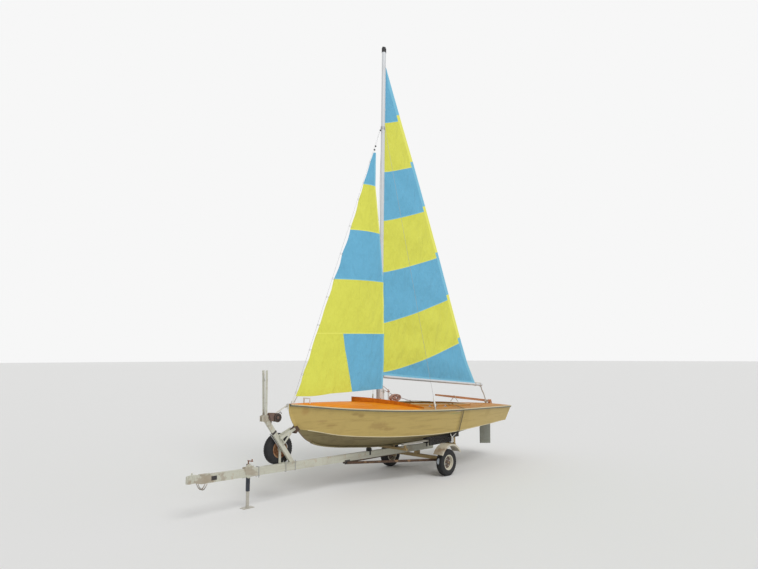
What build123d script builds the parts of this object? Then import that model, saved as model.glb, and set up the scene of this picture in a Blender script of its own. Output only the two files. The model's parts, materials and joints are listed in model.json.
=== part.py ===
"""Hard-chine sailing dinghy, rigged with both sails set, standing on its road trailer.

Millimetres.  The bow points to -Y, the port side to +X and the masthead to +Z.  The ground is z = 0,
where the tyres and the foot of the trailer's jack stand, and y = 0 is at the foot of the mast.
"""
import os
from collections import namedtuple
from math import acos, atan2, cos, radians, sin, tan

from build123d import *

# Hull
BOW_Y = -1798
HULL_LENGTH = 4908
SIDE_PLY = 10
BOTTOM_PLY = 10
DECK_PLY = 8
STEM_HALF = 6
STEM_DEPTH = 58
STEM_NOSE = 8
TRANSOM_PLY = 15
TRANSOM_RAKE = 0.308
GLUE_GAP = 0.4
FAR = 4000
HIGH = 2000
SEAT_GAP = 0.3

Station = namedtuple("Station", "share sheer_half sheer_z chine_half chine_z keel_z crown")
# Table of offsets.  share is the distance from the stem head as a share of the hull's length, and the
# first row runs the planks' lines on past the stem, where they cross the middle plane
STATIONS = (
    Station(-0.0045, -4, 1247, -62, 936, 1290, 0),
    Station(0.0385, 99, 1224, 10, 900, 866, 20),
    Station(0.0852, 208, 1196, 97, 852, 700, 44),
    Station(0.1504, 338, 1160, 214, 782, 618, 70),
    Station(0.2450, 487, 1121, 352, 728, 560, 90),
    Station(0.3500, 622, 1087, 482, 690, 512, 95),
    Station(0.5497, 716, 1037, 592, 658, 478, 68),
    Station(0.7504, 678, 1004, 569, 674, 519, 38),
    Station(1.0000, 525, 956, 436, 699, 633, 14),
)

KEEL_WIDTH = 56
KEEL_DEPTH = 16
KEEL_UPSTAND = 26
RAIL_WIDTH = 20
RAIL_HEIGHT = 30

# Cockpit
COCKPIT_FORE_Y = 250
COCKPIT_AFT_Y = 1900
COCKPIT_HALF_FORE = 420
COCKPIT_HALF_AFT = 460
COCKPIT_CORNER = 70
COAMING_PLY = 12
COAMING_ABOVE = 20
COAMING_BELOW = 45
FLOOR_Z = 600
FLOOR_PLY = 10
BULKHEAD_PLY = 9
TRUNK_FORE_Y = 330
TRUNK_LENGTH = 950
TRUNK_HEIGHT = 260
TRUNK_WALL = 12
SLOT_WIDTH = 24
BOARD_PLY = 14
THWART_Y = 905
THWART_WIDTH = 210
THWART_PLY = 20

# Splash board on the foredeck
SPLASH_TIP_Y = -607
SPLASH_HALF_ANGLE = 32.5
SPLASH_LENGTH = 1140
SPLASH_PLY = 14
SPLASH_TIP_Z = 1291
SPLASH_MID_Z = 1196
SPLASH_END_Z = 1104
SPLASH_LOW_Z = 1000

# Rig
MAST_RAKE = 1.29
MAST_FORE_AFT = 74
MAST_BREADTH = 62
MAST_WALL = 2.5
MAST_TOP_Z = 7197
MAST_STEP_Z = 1196
CAP_HEIGHT = 95
PEG_DIAMETER = 26
HOUNDS_Z = 5724
STAY_WIRE = 4
CHAINPLATE_Y = 557
CHAINPLATE_LENGTH = 70
TURNBUCKLE_DIAMETER = 15
TURNBUCKLE_LENGTH = 130
FORESTAY_FOOT_Y = -1739
FORESTAY_FOOT_Z = 1268
BOOM_FORE_Z = 1568
BOOM_DROOP = 4.65
BOOM_LENGTH = 2816
BOOM_DIAMETER = 50
BOOM_WALL = 2
TRACK_GAP = 7
GOOSENECK_OFFSET = 14
GOOSENECK_PIN = 10
SAIL_CLOTH = 3
MAIN_HEAD_Z = 6799
MAIN_HEAD_WIDTH = 60
MAIN_FOOT_LENGTH = 2645
MAIN_CAMBER = 55
JIB_HEAD_Z = 5238
JIB_TACK_Z = 1352
JIB_CLEW = (120, -87, 1396)
JIB_CAMBER = 75
JIB_HEAD_WIDTH = 30

# Rudder
PINTLE_OFFSET = 42
PINTLE_DIAMETER = 10
RUDDER_BLADE_PLY = 18
RUDDER_HEAD_PLY = 42
TILLER_THICK = 30
TILLER_HEIGHT = 40
TILLER_FORE_Y = 1453
TILLER_FORE_Z = 1216
TILLER_SLOPE = 0.1146

# Trailer
COUPLER_NOSE_Y = -3262
COUPLER_BALL_Z = 472
BALL_SOCKET_RADIUS = 25.9
BALL_SOCKET_DEPTH = 24
TONGUE_FRONT_Y = -3085
TONGUE_REAR_Y = 1330
TONGUE_FRONT_Z = 460
TONGUE_FALL = 0.0204
TONGUE_WIDTH = 50
TONGUE_HEIGHT = 100
TONGUE_WALL = 3
JACK_Y = -2381
JACK_PLATE_Y = -2431
JACK_TUBE = 52
JACK_WALL = 3
JACK_LEG = 40
JACK_TUBE_BOTTOM_Z = 205
JACK_TUBE_TOP_Z = 530
JACK_LEG_TOP_Z = 330
JACK_BUSH = 30
JACK_FOOT_LENGTH = 160
JACK_FOOT_WIDTH = 92
JACK_FOOT_PLY = 6
POST_FOOT_Y = -1737
POST_TOP_Y = -2184
POST_TOP_Z = 1097
POST_WIDTH = 40
POST_DEPTH = 60
POST_PLATE_Y = -1774
POST_PLATE_LENGTH = 202
CLAMP_ROD = 8
CLAMP_PLACES = (-1850, -1692)
WINCH_Y = -2010
WINCH_Z = 1090
WINCH_HALF = 33
WINCH_DRUM = 62
WINCH_FLANGE = 114
WINCH_WOUND = 104
ARM_X = 42.3
AXLE_Y = 921
AXLE_BEAM = 50
AXLE_BEAM_Z = 252
AXLE_HALF = 520
TYRE_RADIUS = 206
TYRE_WIDTH = 126
TRACK_HALF = 604.5
RIM_RADIUS = 112
SPINDLE_DIAMETER = 26
SPARE_Y = -1876
SPARE_Z = 661
SPARE_X = -118
BRACE_DIAMETER = 38
BRACE_FORE_Y = -740
BUNK_X = 350
BUNK_RAIL_WIDTH = 40
BUNK_RAIL_HEIGHT = 30
BUNK_RAIL_Z = 540
BUNK_FORE_Y = 142
BUNK_AFT_Y = 1370
BUNK_PAD_FORE_Y = 700
BUNK_PAD_WIDTH = 90
BUNK_BOARD_FORE_Y = 770
BUNK_BOARD_LOW_Z = 458
CHINE_PAD_Z = 560
CHINE_PAD_HALF = 85
CROSS_BEAM = 33
CROSS_FORE_Y = 200
CROSS_REAR_Y = 1290
CROSS_HALF = 520
ROLLER_PLACES = (-240, 1150)
STRAP_Y = 1250
STRAP_WIDTH = 25
STRAP_PLY = 2.5
MUDGUARD_RADIUS = 290
MUDGUARD_LIP = 24
MUDGUARD_ENDS = (30, 150)
MUDGUARD_PLY = 3
MUDGUARD_INNER_X = 538
MUDGUARD_WIDTH = 176


def station_y(share):
    """Place of a station along the hull."""
    return BOW_Y + share * HULL_LENGTH


def fair(column, y):
    """Height or breadth of a hull line at y: a cubic through the table's rows."""
    rows = [(station_y(s.share), getattr(s, column)) for s in STATIONS]
    i = max(k for k in range(len(rows) - 1) if k == 0 or rows[k][0] <= y)

    def slope(k):
        low, high = max(k - 1, 0), min(k + 1, len(rows) - 1)
        return (rows[high][1] - rows[low][1]) / (rows[high][0] - rows[low][0])

    (y0, v0), (y1, v1) = rows[i], rows[i + 1]
    span = y1 - y0
    t = (y - y0) / span
    return (
        v0 * (1 + 2 * t) * (1 - t) ** 2
        + v1 * t * t * (3 - 2 * t)
        + slope(i) * span * t * (1 - t) ** 2
        - slope(i + 1) * span * t * t * (1 - t)
    )


TRANSOM_Y = station_y(1) - TRANSOM_PLY
TRANSOM_TOP_Z = fair("sheer_z", station_y(1))


def transom_at(z):
    """Where the raked front face of the transom is at a height."""
    return TRANSOM_Y - (TRANSOM_TOP_Z - z) * TRANSOM_RAKE


def ahead_of_transom():
    """Everything forward of the raked front face of the transom."""
    corners = [(-FAR, 0), (transom_at(0), 0), (transom_at(HIGH), HIGH), (-FAR, HIGH)]
    return extrude(Plane.YZ * make_face(Polyline(*corners, close=True)), HIGH / 2, both=True)


def section(y, points):
    """Corners of a cut across the hull at y."""
    return [(x, y, z) for x, z in points]


def skin(sections):
    """Closed solid whose long edges are curves through the corners of a row of sections."""
    corners = len(sections[0])
    edges = [Edge.make_spline([Vector(*row[i]) for row in sections]) for i in range(corners)]
    faces = [Face.make_surface_from_curves(edges[i - 1], edges[i]) for i in range(corners)]
    for row in (sections[0], sections[-1]):
        faces.append(Face(Wire.make_polygon([Vector(*p) for p in row], close=True)))
    return Solid(Shell(faces))


def solid_between(wires, ruled=False):
    """Closed solid through a row of outlines."""
    return Solid.make_loft(wires, ruled)


def mirrored(part):
    """The same piece on the other side of the boat."""
    return part.mirror(Plane.YZ)


def together(*parts):
    """One piece of several solids that don't touch."""
    return Compound(children=[solid for part in parts for solid in part.solids()])


def pair(part):
    """A port piece and its starboard twin."""
    return together(part, mirrored(part))


def block(x0, x1, y0, y1, z0, z1):
    """Box between two corners."""
    return Pos((x0 + x1) / 2, (y0 + y1) / 2, (z0 + z1) / 2) * Box(x1 - x0, y1 - y0, z1 - z0)


def rod(start, end, diameter):
    """Round bar from one point to another."""
    a, b = Vector(*start), Vector(*end)
    plane = Plane(origin=a, z_dir=b - a)
    return extrude(plane * Circle(diameter / 2), (b - a).length)


def tube(start, end, diameter, wall):
    """Round tube from one point to another."""
    a, b = Vector(*start), Vector(*end)
    plane = Plane(origin=a, z_dir=b - a)
    return extrude(plane * (Circle(diameter / 2) - Circle(diameter / 2 - wall)), (b - a).length)


def hull_rows(first=0):
    """Places along the hull from a row of the table to the transom, three steps from row to row."""
    rows = [station_y(s.share) for s in STATIONS[first:]]
    return [a + (b - a) * k / 3 for a, b in zip(rows, rows[1:]) for k in range(3)] + [rows[-1]]


def crown_slab(rows, low, high, spread=1.02):
    """Slab with the deck's crown, between two heights above the sheer, a little wider than the hull."""
    grid = []
    shares = [spread * k / 4 for k in range(-4, 5)]
    for y in rows:
        half, edge, crown = fair("sheer_half", y), fair("sheer_z", y), fair("crown", y)
        grid.append([Vector(half * share, y, edge + low + crown * (1 - share * share)) for share in shares])
    sheet = Face.make_surface_from_array_of_points(grid)
    return Solid.extrude(sheet, Vector(0, 0, high - low))


def side_panel():
    """Port topside: one plank from sheer to chine, trimmed to the stem."""
    wires = []
    for y in hull_rows():
        sheer, sheer_z = fair("sheer_half", y), fair("sheer_z", y)
        chine, chine_z = fair("chine_half", y), fair("chine_z", y)
        outside = [(sheer, sheer_z), (chine, chine_z)]
        inside = [(chine - SIDE_PLY, chine_z), (sheer - SIDE_PLY, sheer_z)]
        wires.append(section(y, outside + inside))
    return skin(wires) & block(STEM_HALF, HIGH, -FAR, FAR, 0, HIGH) & ahead_of_transom()


def bottom_panel():
    """Port bottom plank from chine to keel, trimmed to the backbone."""
    wires = []
    for y in hull_rows(1):
        chine, chine_z = fair("chine_half", y), fair("chine_z", y) - GLUE_GAP
        keel_z = fair("keel_z", y)
        outside = [(chine, chine_z), (0, keel_z)]
        inside = [(0, keel_z + BOTTOM_PLY), (chine - SIDE_PLY, chine_z)]
        wires.append(section(y, outside + inside))
    plank = skin(wires) & block(STEM_HALF, HIGH, -FAR, FAR, 0, HIGH) & ahead_of_transom()
    return plank - board_slot()


def board_slot():
    """Slot in the bottom for the centreboard."""
    half = SLOT_WIDTH / 2
    y0, y1 = TRUNK_FORE_Y + TRUNK_WALL, TRUNK_FORE_Y + TRUNK_LENGTH - TRUNK_WALL
    return block(-half, half, y0, y1, 0, FLOOR_Z + 200)


def stem_line():
    """Points of the stem's face, where the planks cross the middle, from the head to the forefoot."""
    upper = [(-1799, 1245), (-1785, 1147), (-1752, 1050), (-1706, 975)]
    return upper + [(-1620, 873), (-1520, 775), (-1400, 706)]


def stem():
    """Curved stem timber between the planks."""
    face = stem_line()
    outer = [(y - STEM_NOSE * 0.8, z - STEM_NOSE * 0.5) for y, z in face]
    inner = [(y + STEM_DEPTH * 0.8, z + STEM_DEPTH * 0.45) for y, z in face[1:-1]]
    inner.append((face[-1][0], face[-1][1] + STEM_DEPTH * 0.6))
    head = (face[0][0] + STEM_DEPTH, face[0][1] - 16)
    front = Spline(*outer)
    back = Spline(*reversed([head] + inner))
    outline = make_face([front, Line(outer[-1], inner[-1]), back, Line(head, outer[0])])
    return extrude(Plane.YZ * outline, STEM_HALF - SEAT_GAP, both=True)


def keel():
    """Backbone from the forefoot to the transom: an upstand between the bottom planks on a flat shoe."""
    first = stem_line()[-1][0] + 2
    rows = [first, -1230] + hull_rows(3)[:-1] + [station_y(1) - 130]
    web = extrude(keel_band(rows, KEEL_UPSTAND, 1), STEM_HALF - SEAT_GAP, both=True)
    shoe = extrude(keel_band(rows, -1, KEEL_DEPTH), KEEL_WIDTH / 2, both=True)
    return web + shoe - board_slot()


def transom():
    """Raked plate that closes the stern, its top edge crowned under the deck."""
    sheer = fair("sheer_half", transom_at(fair("sheer_z", TRANSOM_Y)))
    chine_z, keel_z = fair("chine_z", 3015), fair("keel_z", 2992)
    chine, crown = fair("chine_half", transom_at(chine_z)), fair("crown", TRANSOM_Y)
    lean = atan2(TRANSOM_RAKE, 1)
    origin = (0, TRANSOM_Y + GLUE_GAP, TRANSOM_TOP_Z)
    plane = Plane(origin=origin, x_dir=(-1, 0, 0), z_dir=(0, cos(lean), -sin(lean)))

    def down(z):
        return -(TRANSOM_TOP_Z - z) / cos(lean)

    outline = make_face([
        ThreePointArc((-sheer, 0), (0, crown), (sheer, 0)), Line((sheer, 0), (chine, down(chine_z))),
        Line((chine, down(chine_z)), (0, down(keel_z))), Line((0, down(keel_z)), (-chine, down(chine_z))),
        Line((-chine, down(chine_z)), (-sheer, 0)),
    ])
    return extrude(plane * outline, TRANSOM_PLY * cos(lean))


def cockpit_outline(inset=0):
    """Plan of the cockpit opening."""
    fore, aft = COCKPIT_HALF_FORE - inset, COCKPIT_HALF_AFT - inset
    y0, y1 = COCKPIT_FORE_Y + inset, COCKPIT_AFT_Y - inset
    plan = make_face(Polyline((-fore, y0), (fore, y0), (aft, y1), (-aft, y1), close=True))
    return fillet(plan.vertices(), COCKPIT_CORNER - inset)


def decks():
    """Foredeck, both side decks and the aft deck, cut from one crowned sheet."""
    rows = [BOW_Y + 6] + hull_rows(1)
    edge = [(fair("sheer_half", y) - 1, y) for y in rows]
    gunwale = Spline(*edge)
    across = Line(edge[-1], (-edge[-1][0], edge[-1][1]))
    nose = Line((-edge[0][0], edge[0][1]), edge[0])
    plan = make_face([gunwale, across, gunwale.mirror(Plane.YZ), nose])
    sheet = crown_slab(rows, GLUE_GAP, DECK_PLY) & Pos(0, 0, 800) * extrude(plan - cockpit_outline(), 600)
    fore = sheet & block(-2000, 2000, -4000, COCKPIT_FORE_Y, 0, 3000)
    aft = sheet & block(-2000, 2000, COCKPIT_AFT_Y, 4000, 0, 3000)
    port = sheet & block(0, 2000, COCKPIT_FORE_Y, COCKPIT_AFT_Y, 0, 3000)
    return fore, port, aft


def coaming():
    """Upright board round the inside of the cockpit opening."""
    ring = cockpit_outline(SEAT_GAP) - cockpit_outline(SEAT_GAP + COAMING_PLY)
    wall = Pos(0, 0, 800) * extrude(ring, 600)
    return wall & crown_slab(hull_rows(4)[:-1], -COAMING_BELOW, DECK_PLY + COAMING_ABOVE)


def rub_rail():
    """Rail along the port gunwale, outside the plank and the edge of the deck."""
    wires = []
    for y in [BOW_Y + 8] + hull_rows(1):
        inner = fair("sheer_half", y) + SEAT_GAP
        outer = inner + RAIL_WIDTH
        top = fair("sheer_z", y) + DECK_PLY + 1
        low = top - RAIL_HEIGHT
        wires.append(section(y, [(inner, top), (outer, top - 3), (outer, low), (inner, low)]))
    return skin(wires) & ahead_of_transom()


def splash_board():
    """Two boards that meet in a point ahead of the mast and run out to the gunwales."""
    angle = radians(SPLASH_HALF_ANGLE)
    along = Vector(sin(angle), cos(angle), 0)
    plane = Plane(origin=(0, SPLASH_TIP_Y, 0), x_dir=along, z_dir=along.cross(Vector(0, 0, 1)))
    head, tail = (-20, SPLASH_TIP_Z + 2), (SPLASH_LENGTH, SPLASH_END_Z)
    low_tail, low_head = (SPLASH_LENGTH, SPLASH_LOW_Z), (-20, SPLASH_LOW_Z)
    top = ThreePointArc(head, (SPLASH_LENGTH * 0.65, SPLASH_MID_Z), tail)
    outline = make_face([top, Line(tail, low_tail), Line(low_tail, low_head), Line(low_head, head)])
    board = extrude(plane * outline, SPLASH_PLY / 2, both=True)
    board = board & block(0, HIGH, -FAR, FAR, 0, HIGH)
    board = board - crown_slab(hull_rows(2)[:-1], -400, DECK_PLY + GLUE_GAP, 1.2)
    return board + mirrored(board)


def mast_axis(z):
    """Middle of the raked mast at a height."""
    return tan(radians(MAST_RAKE)) * (z - MAST_STEP_Z)


MAST_UP = Vector(0, sin(radians(MAST_RAKE)), cos(radians(MAST_RAKE)))


def mast():
    """Oval alloy tube from the step to the masthead."""
    plane = Plane(origin=(0, 0, MAST_STEP_Z), x_dir=(1, 0, 0), z_dir=MAST_UP)
    length = (MAST_TOP_Z - CAP_HEIGHT - MAST_STEP_Z) / cos(radians(MAST_RAKE))
    return extrude(plane * (mast_section(0) - mast_section(-MAST_WALL)), length)


def mast_cap():
    """Masthead casting with the halyard sheaves' cheeks."""
    z0 = MAST_TOP_Z - CAP_HEIGHT
    plane = Plane(origin=(0, mast_axis(z0), z0), x_dir=(1, 0, 0), z_dir=MAST_UP)
    body = extrude(plane * Ellipse(MAST_BREADTH / 2 + 4, MAST_FORE_AFT / 2 + 6), 70)
    dome = extrude(plane.offset(70) * Ellipse(MAST_BREADTH / 2 - 4, MAST_FORE_AFT / 2), 24)
    return body + dome


def mast_step():
    """Plate on the foredeck with two cheeks that hold the heel of the mast, and two pegs behind it."""
    half = MAST_BREADTH / 2 + 1
    top = MAST_STEP_Z - 1.2
    plate = block(-half - 16, half + 16, -70, 100, MAST_STEP_Z - 60, top)
    cheek = block(half, half + 6, -34, 30, MAST_STEP_Z - 30, MAST_STEP_Z + 181)
    lip = block(-30, 30, 90, 225, MAST_STEP_Z - 60, MAST_STEP_Z - 12)
    whole = plate + cheek + mirrored(cheek) + lip
    for x, y, z in ((-12, 106, 1370), (12, 200, 1369)):
        whole = whole + rod((x, y, MAST_STEP_Z - 40), (x, y, z), PEG_DIAMETER)
    return whole - crown_slab(hull_rows(2)[:-1], -400, DECK_PLY + GLUE_GAP)


def stay_foot():
    """Port shroud's lower end, at the top of its chainplate."""
    return (fair("sheer_half", CHAINPLATE_Y) - 12, CHAINPLATE_Y, fair("sheer_z", CHAINPLATE_Y) + DECK_PLY - 4)


def shroud():
    """Port shroud with its turnbuckle and chainplate."""
    foot = Vector(*stay_foot())
    head = Vector(MAST_BREADTH / 2 + 8, mast_axis(HOUNDS_Z) + 6, HOUNDS_Z)
    up = (head - foot).normalized()
    barrel_foot = foot + up * CHAINPLATE_LENGTH * 0.6
    barrel_head = barrel_foot + up * TURNBUCKLE_LENGTH
    plate_plane = Plane(origin=foot, x_dir=(0, 1, 0), z_dir=up)
    plate = extrude(plate_plane * Rectangle(24, 4), CHAINPLATE_LENGTH * 0.6)
    barrel = rod(tuple(barrel_foot), tuple(barrel_head), TURNBUCKLE_DIAMETER)
    wire = rod(tuple(barrel_head), tuple(head), STAY_WIRE)
    return (plate + barrel + wire) - crown_slab(hull_rows(4)[:-1], -100, DECK_PLY + GLUE_GAP)


def forestay_at(z):
    """Middle of the forestay at a height."""
    head_y = mast_axis(HOUNDS_Z) - MAST_FORE_AFT / 2 - 19
    return FORESTAY_FOOT_Y + (head_y - FORESTAY_FOOT_Y) * (z - FORESTAY_FOOT_Z) / (HOUNDS_Z - FORESTAY_FOOT_Z)


def forestay():
    """Wire from the stem head to the hounds."""
    foot_z = FORESTAY_FOOT_Z + 8
    return rod((0, forestay_at(foot_z), foot_z), (0, forestay_at(HOUNDS_Z), HOUNDS_Z), STAY_WIRE)


def hounds():
    """Band round the mast with the tangs of the three stays."""
    z0 = HOUNDS_Z - 26
    y0 = mast_axis(z0)
    plane = Plane(origin=(0, y0, z0), x_dir=(1, 0, 0), z_dir=MAST_UP)
    ring = extrude(plane * (mast_section(3.5) - mast_section(SEAT_GAP)), 52)
    breadth, front = MAST_BREADTH / 2, y0 - MAST_FORE_AFT / 2
    side = block(breadth + 1, breadth + 5, y0 - 10, y0 + 22, z0 + 4, z0 + 48)
    tang = block(-4, 4, front - 16, front - 1, z0 + 4, z0 + 48)
    return ring + side + mirrored(side) + tang


def stem_fitting():
    """Strap on the stem head with the forestay's fork and the bow eye."""
    deck = crown_slab([BOW_Y + 6] + hull_rows(1)[:4], -400, DECK_PLY + GLUE_GAP, 4)
    base = block(-13, 13, BOW_Y + 45, BOW_Y + 110, 1240, 1262) - deck
    ears = [block(x, x + 4, FORESTAY_FOOT_Y - 16, FORESTAY_FOOT_Y + 16, 1258, 1290) for x in (-9, 5)]
    pin = rod((-9, FORESTAY_FOOT_Y, 1272), (9, FORESTAY_FOOT_Y, 1272), 6)
    face = block(-13, 13, BOW_Y - 16, BOW_Y - 11, 1180, 1262)
    top = block(-13, 13, BOW_Y - 16, BOW_Y + 50, 1257, 1262)
    return base + ears[0] + ears[1] + pin + face + top


def bow_handle():
    """Square bow handle on the foredeck."""
    y = -1483
    deck = fair("sheer_z", y) + DECK_PLY
    half, top, bar = 72, 1318, 14
    frame = block(-half, half, y - bar / 2, y + bar / 2, deck - 20, top)
    frame = frame - block(-half + bar, half - bar, y - bar, y + bar, 0, top - bar)
    return frame - crown_slab(hull_rows(1)[:4], -400, DECK_PLY + GLUE_GAP)


def bulkhead(y):
    """Frame across the hull under the edge of a deck."""
    faces = (y, y - BULKHEAD_PLY)
    sheer = min(fair("sheer_half", v) for v in faces) - SIDE_PLY - 0.5
    sheer_z = min(fair("sheer_z", v) for v in faces)
    chine, chine_z = min(fair("chine_half", v) for v in faces) - SIDE_PLY - 1, fair("chine_z", y) + 5
    keel_z = fair("keel_z", y) + KEEL_UPSTAND + 4
    half = STEM_HALF + 2
    port = [(sheer, sheer_z), (chine, chine_z), (half, keel_z)]
    points = port + [(-x, z) for x, z in reversed(port)]
    plane = Plane(origin=(0, y, 0), x_dir=(1, 0, 0), z_dir=(0, -1, 0))
    return extrude(plane * make_face(Polyline(*points, close=True)), BULKHEAD_PLY)


def floor_half(y):
    """Half-breadth of the hull's inside at the height of the floor."""
    low, high = fair("keel_z", y) + BOTTOM_PLY, fair("chine_z", y)
    return (fair("chine_half", y) - SIDE_PLY) * (FLOOR_Z - low) / (high - GLUE_GAP - low) - 1


def cockpit_floor():
    """Flat boards across the V of the bottom, each side of the centreboard trunk."""
    rows = [COCKPIT_FORE_Y + 20, 600, 950, 1300, 1600, COCKPIT_AFT_Y - BULKHEAD_PLY - 20]
    outline = [(floor_half(y), y) for y in rows] + [(-floor_half(y), y) for y in reversed(rows)]
    sheet = Pos(0, 0, FLOOR_Z) * extrude(make_face(Polyline(*outline, close=True)), FLOOR_PLY)
    half = SLOT_WIDTH / 2 + TRUNK_WALL + SEAT_GAP
    y0, y1 = TRUNK_FORE_Y - SEAT_GAP, TRUNK_FORE_Y + TRUNK_LENGTH + SEAT_GAP
    return sheet - block(-half, half, y0, y1, 0, HIGH)


def board_trunk():
    """Centreboard case: two walls and two end posts."""
    half = SLOT_WIDTH / 2
    y0, y1 = TRUNK_FORE_Y, TRUNK_FORE_Y + TRUNK_LENGTH
    z0, z1 = fair("keel_z", TRUNK_FORE_Y) + KEEL_UPSTAND + 12, FLOOR_Z + TRUNK_HEIGHT
    case = block(-half - TRUNK_WALL, half + TRUNK_WALL, y0, y1, z0, z1)
    return case - block(-half, half, y0 + TRUNK_WALL, y1 - TRUNK_WALL, 0, HIGH)


def centreboard():
    """Board raised into its case, with a lifting lug that stands out above the capping."""
    y0, y1 = TRUNK_FORE_Y + TRUNK_WALL + SEAT_GAP, TRUNK_FORE_Y + TRUNK_LENGTH - TRUNK_WALL - 15
    low, high = fair("keel_z", AXLE_Y) + 4, FLOOR_Z + TRUNK_HEIGHT - 15
    under = [(y0, low + 30), (y0 + 40, low), (y1 - 40, low), (y1, low + 60)]
    lug = [(y1, high), (y1 - 20, high + 60), (y1 - 80, high + 60), (y1 - 120, high)]
    points = under + lug + [(y0 + 40, high), (y0, high - 60)]
    return extrude(Plane.YZ * make_face(Polyline(*points, close=True)), BOARD_PLY / 2, both=True)


def thwart():
    """Seat across the cockpit on top of the trunk."""
    z = FLOOR_Z + TRUNK_HEIGHT
    chine, sheer = fair("chine_half", THWART_Y), fair("sheer_half", THWART_Y)
    share = (z - fair("chine_z", THWART_Y)) / (fair("sheer_z", THWART_Y) - fair("chine_z", THWART_Y))
    half = chine + share * (sheer - chine) - SIDE_PLY - 9
    y0, y1 = THWART_Y - THWART_WIDTH / 2, THWART_Y + THWART_WIDTH / 2
    return block(-half, half, y0, y1, z, z + THWART_PLY)


def boom_axis():
    """Gooseneck's pin behind the mast at the boom's height, where the boom turns."""
    return Vector(0, mast_axis(BOOM_FORE_Z) + MAST_FORE_AFT / 2 + GOOSENECK_OFFSET, BOOM_FORE_Z)


def gooseneck():
    """Band on the mast with two lugs that hold the boom's pin."""
    plane = Plane(origin=(0, mast_axis(BOOM_FORE_Z), BOOM_FORE_Z), x_dir=(1, 0, 0), z_dir=MAST_UP)
    band = extrude(plane.offset(-45) * (mast_section(3) - mast_section(SEAT_GAP)), 90)
    at_pin = Plane(origin=boom_axis(), x_dir=(1, 0, 0), z_dir=MAST_UP)
    lugs = at_pin * (Pos(0, -1, 17) * Box(18, 24, 8) + Pos(0, -1, -17) * Box(18, 24, 8))
    pin = at_pin * Cylinder(GOOSENECK_PIN / 2, 50)
    return band + lugs + pin


def boom():
    """Round alloy tube with the gooseneck's eye at the front."""
    aft = Vector(0, cos(radians(BOOM_DROOP)), -sin(radians(BOOM_DROOP)))
    start = Vector(0, 107, BOOM_FORE_Z)
    spar = tube(tuple(start), tuple(start + aft * BOOM_LENGTH), BOOM_DIAMETER, BOOM_WALL)
    plug = rod(tuple(start - aft * 20), tuple(start + aft * 30), BOOM_DIAMETER - 2 * BOOM_WALL)
    at_pin = Plane(origin=boom_axis(), x_dir=(1, 0, 0), z_dir=MAST_UP)
    bore = Cylinder(GOOSENECK_PIN / 2 + SEAT_GAP, 30)
    eye = at_pin * (Cylinder(9, 22) + Pos(0, 17, 0) * Box(14, 26, 22) - bore)
    cap = rod(tuple(start + aft * BOOM_LENGTH), tuple(start + aft * (BOOM_LENGTH + 12)), BOOM_DIAMETER + 3)
    return spar + plug + cap + eye


def sail_strip(luff, leech, camber):
    """Closed outline of the cloth along one chord, its belly to port."""
    a, b = Vector(*luff), Vector(*leech)
    mid = (a + b) * 0.5 + Vector(camber, 0, 0)
    side = Vector(SAIL_CLOTH / 2, 0, 0)
    port = ThreePointArc(a + side, mid + side, b + side)
    starboard = ThreePointArc(b - side, mid - side, a - side)
    return Wire([port, Line(b + side, b - side), starboard, Line(a - side, a + side)])


def mainsail():
    """Mainsail: set along the mast's track and the boom."""
    fall = tan(radians(BOOM_DROOP))
    foot_z = BOOM_FORE_Z + BOOM_DIAMETER / 2 + 4.8
    luff_y = MAST_FORE_AFT / 2 + TRACK_GAP
    rows = []
    for share, belly in ((0, 0.25), (0.25, 1), (0.5, 0.95), (0.75, 0.6), (1, 0.1)):
        z_luff = foot_z + share * (MAIN_HEAD_Z - foot_z)
        chord = MAIN_FOOT_LENGTH + share * (MAIN_HEAD_WIDTH - MAIN_FOOT_LENGTH)
        z_leech = z_luff - fall * chord * (1 - share)
        y = mast_axis(z_luff) + luff_y
        rows.append(sail_strip((0, y, z_luff), (0, y + chord, z_leech), MAIN_CAMBER * belly))
    return solid_between(rows)


def jib():
    """Jib: set along the forestay, its clew at the port side of the mast."""
    clew = Vector(*JIB_CLEW)
    rows = []
    head_luff = Vector(0, forestay_at(JIB_HEAD_Z) + 3.1, JIB_HEAD_Z)
    tack = Vector(0, forestay_at(JIB_TACK_Z) + 3.1, JIB_TACK_Z)
    head_leech = head_luff + Vector(4, JIB_HEAD_WIDTH, -6)
    for share, belly, hook in ((0, 0.25, 0), (0.25, 1, 70), (0.5, 0.95, 95), (0.75, 0.6, 60), (1, 0.05, 0)):
        luff = tack + (head_luff - tack) * share
        leech = clew + (head_leech - clew) * share + Vector(0, hook, 0)
        rows.append(sail_strip(tuple(luff), tuple(leech), JIB_CAMBER * belly))
    return solid_between(rows)


def pintle_axis(z):
    """Line that the rudder turns on, parallel to the transom."""
    return transom_at(z) + TRANSOM_PLY + PINTLE_OFFSET


PINTLE_UP = Vector(0, sin(atan2(TRANSOM_RAKE, 1)), cos(atan2(TRANSOM_RAKE, 1)))


def rudder_gudgeons():
    """Two eyes on the transom that carry the rudder."""
    whole = []
    for z in (700, 900):
        centre = Vector(0, pintle_axis(z), z)
        plane = Plane(origin=centre - PINTLE_UP * 8, x_dir=(1, 0, 0), z_dir=PINTLE_UP)
        arm = extrude(plane * (Pos(0, -PINTLE_OFFSET / 2) * Rectangle(24, PINTLE_OFFSET) + Circle(13)), 16)
        arm = arm - extrude(plane.offset(-5) * Circle(PINTLE_DIAMETER / 2 + 0.5), 26)
        arm = arm & block(-40, 40, 2000, 4000, 0, 2000)
        whole.append(arm - transom_block())
    return whole[0] + whole[1]


def transom_block():
    """Everything ahead of the transom's outer face."""
    y = station_y(1)
    gap = TRANSOM_PLY + GLUE_GAP + SEAT_GAP
    pts = [(2000, 400), (transom_at(400) + gap, 400), (transom_at(1100) + gap, 1100), (2000, 1100)]
    return extrude(Plane.YZ * make_face(Polyline(*pts, close=True)), 700, both=True)


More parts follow.
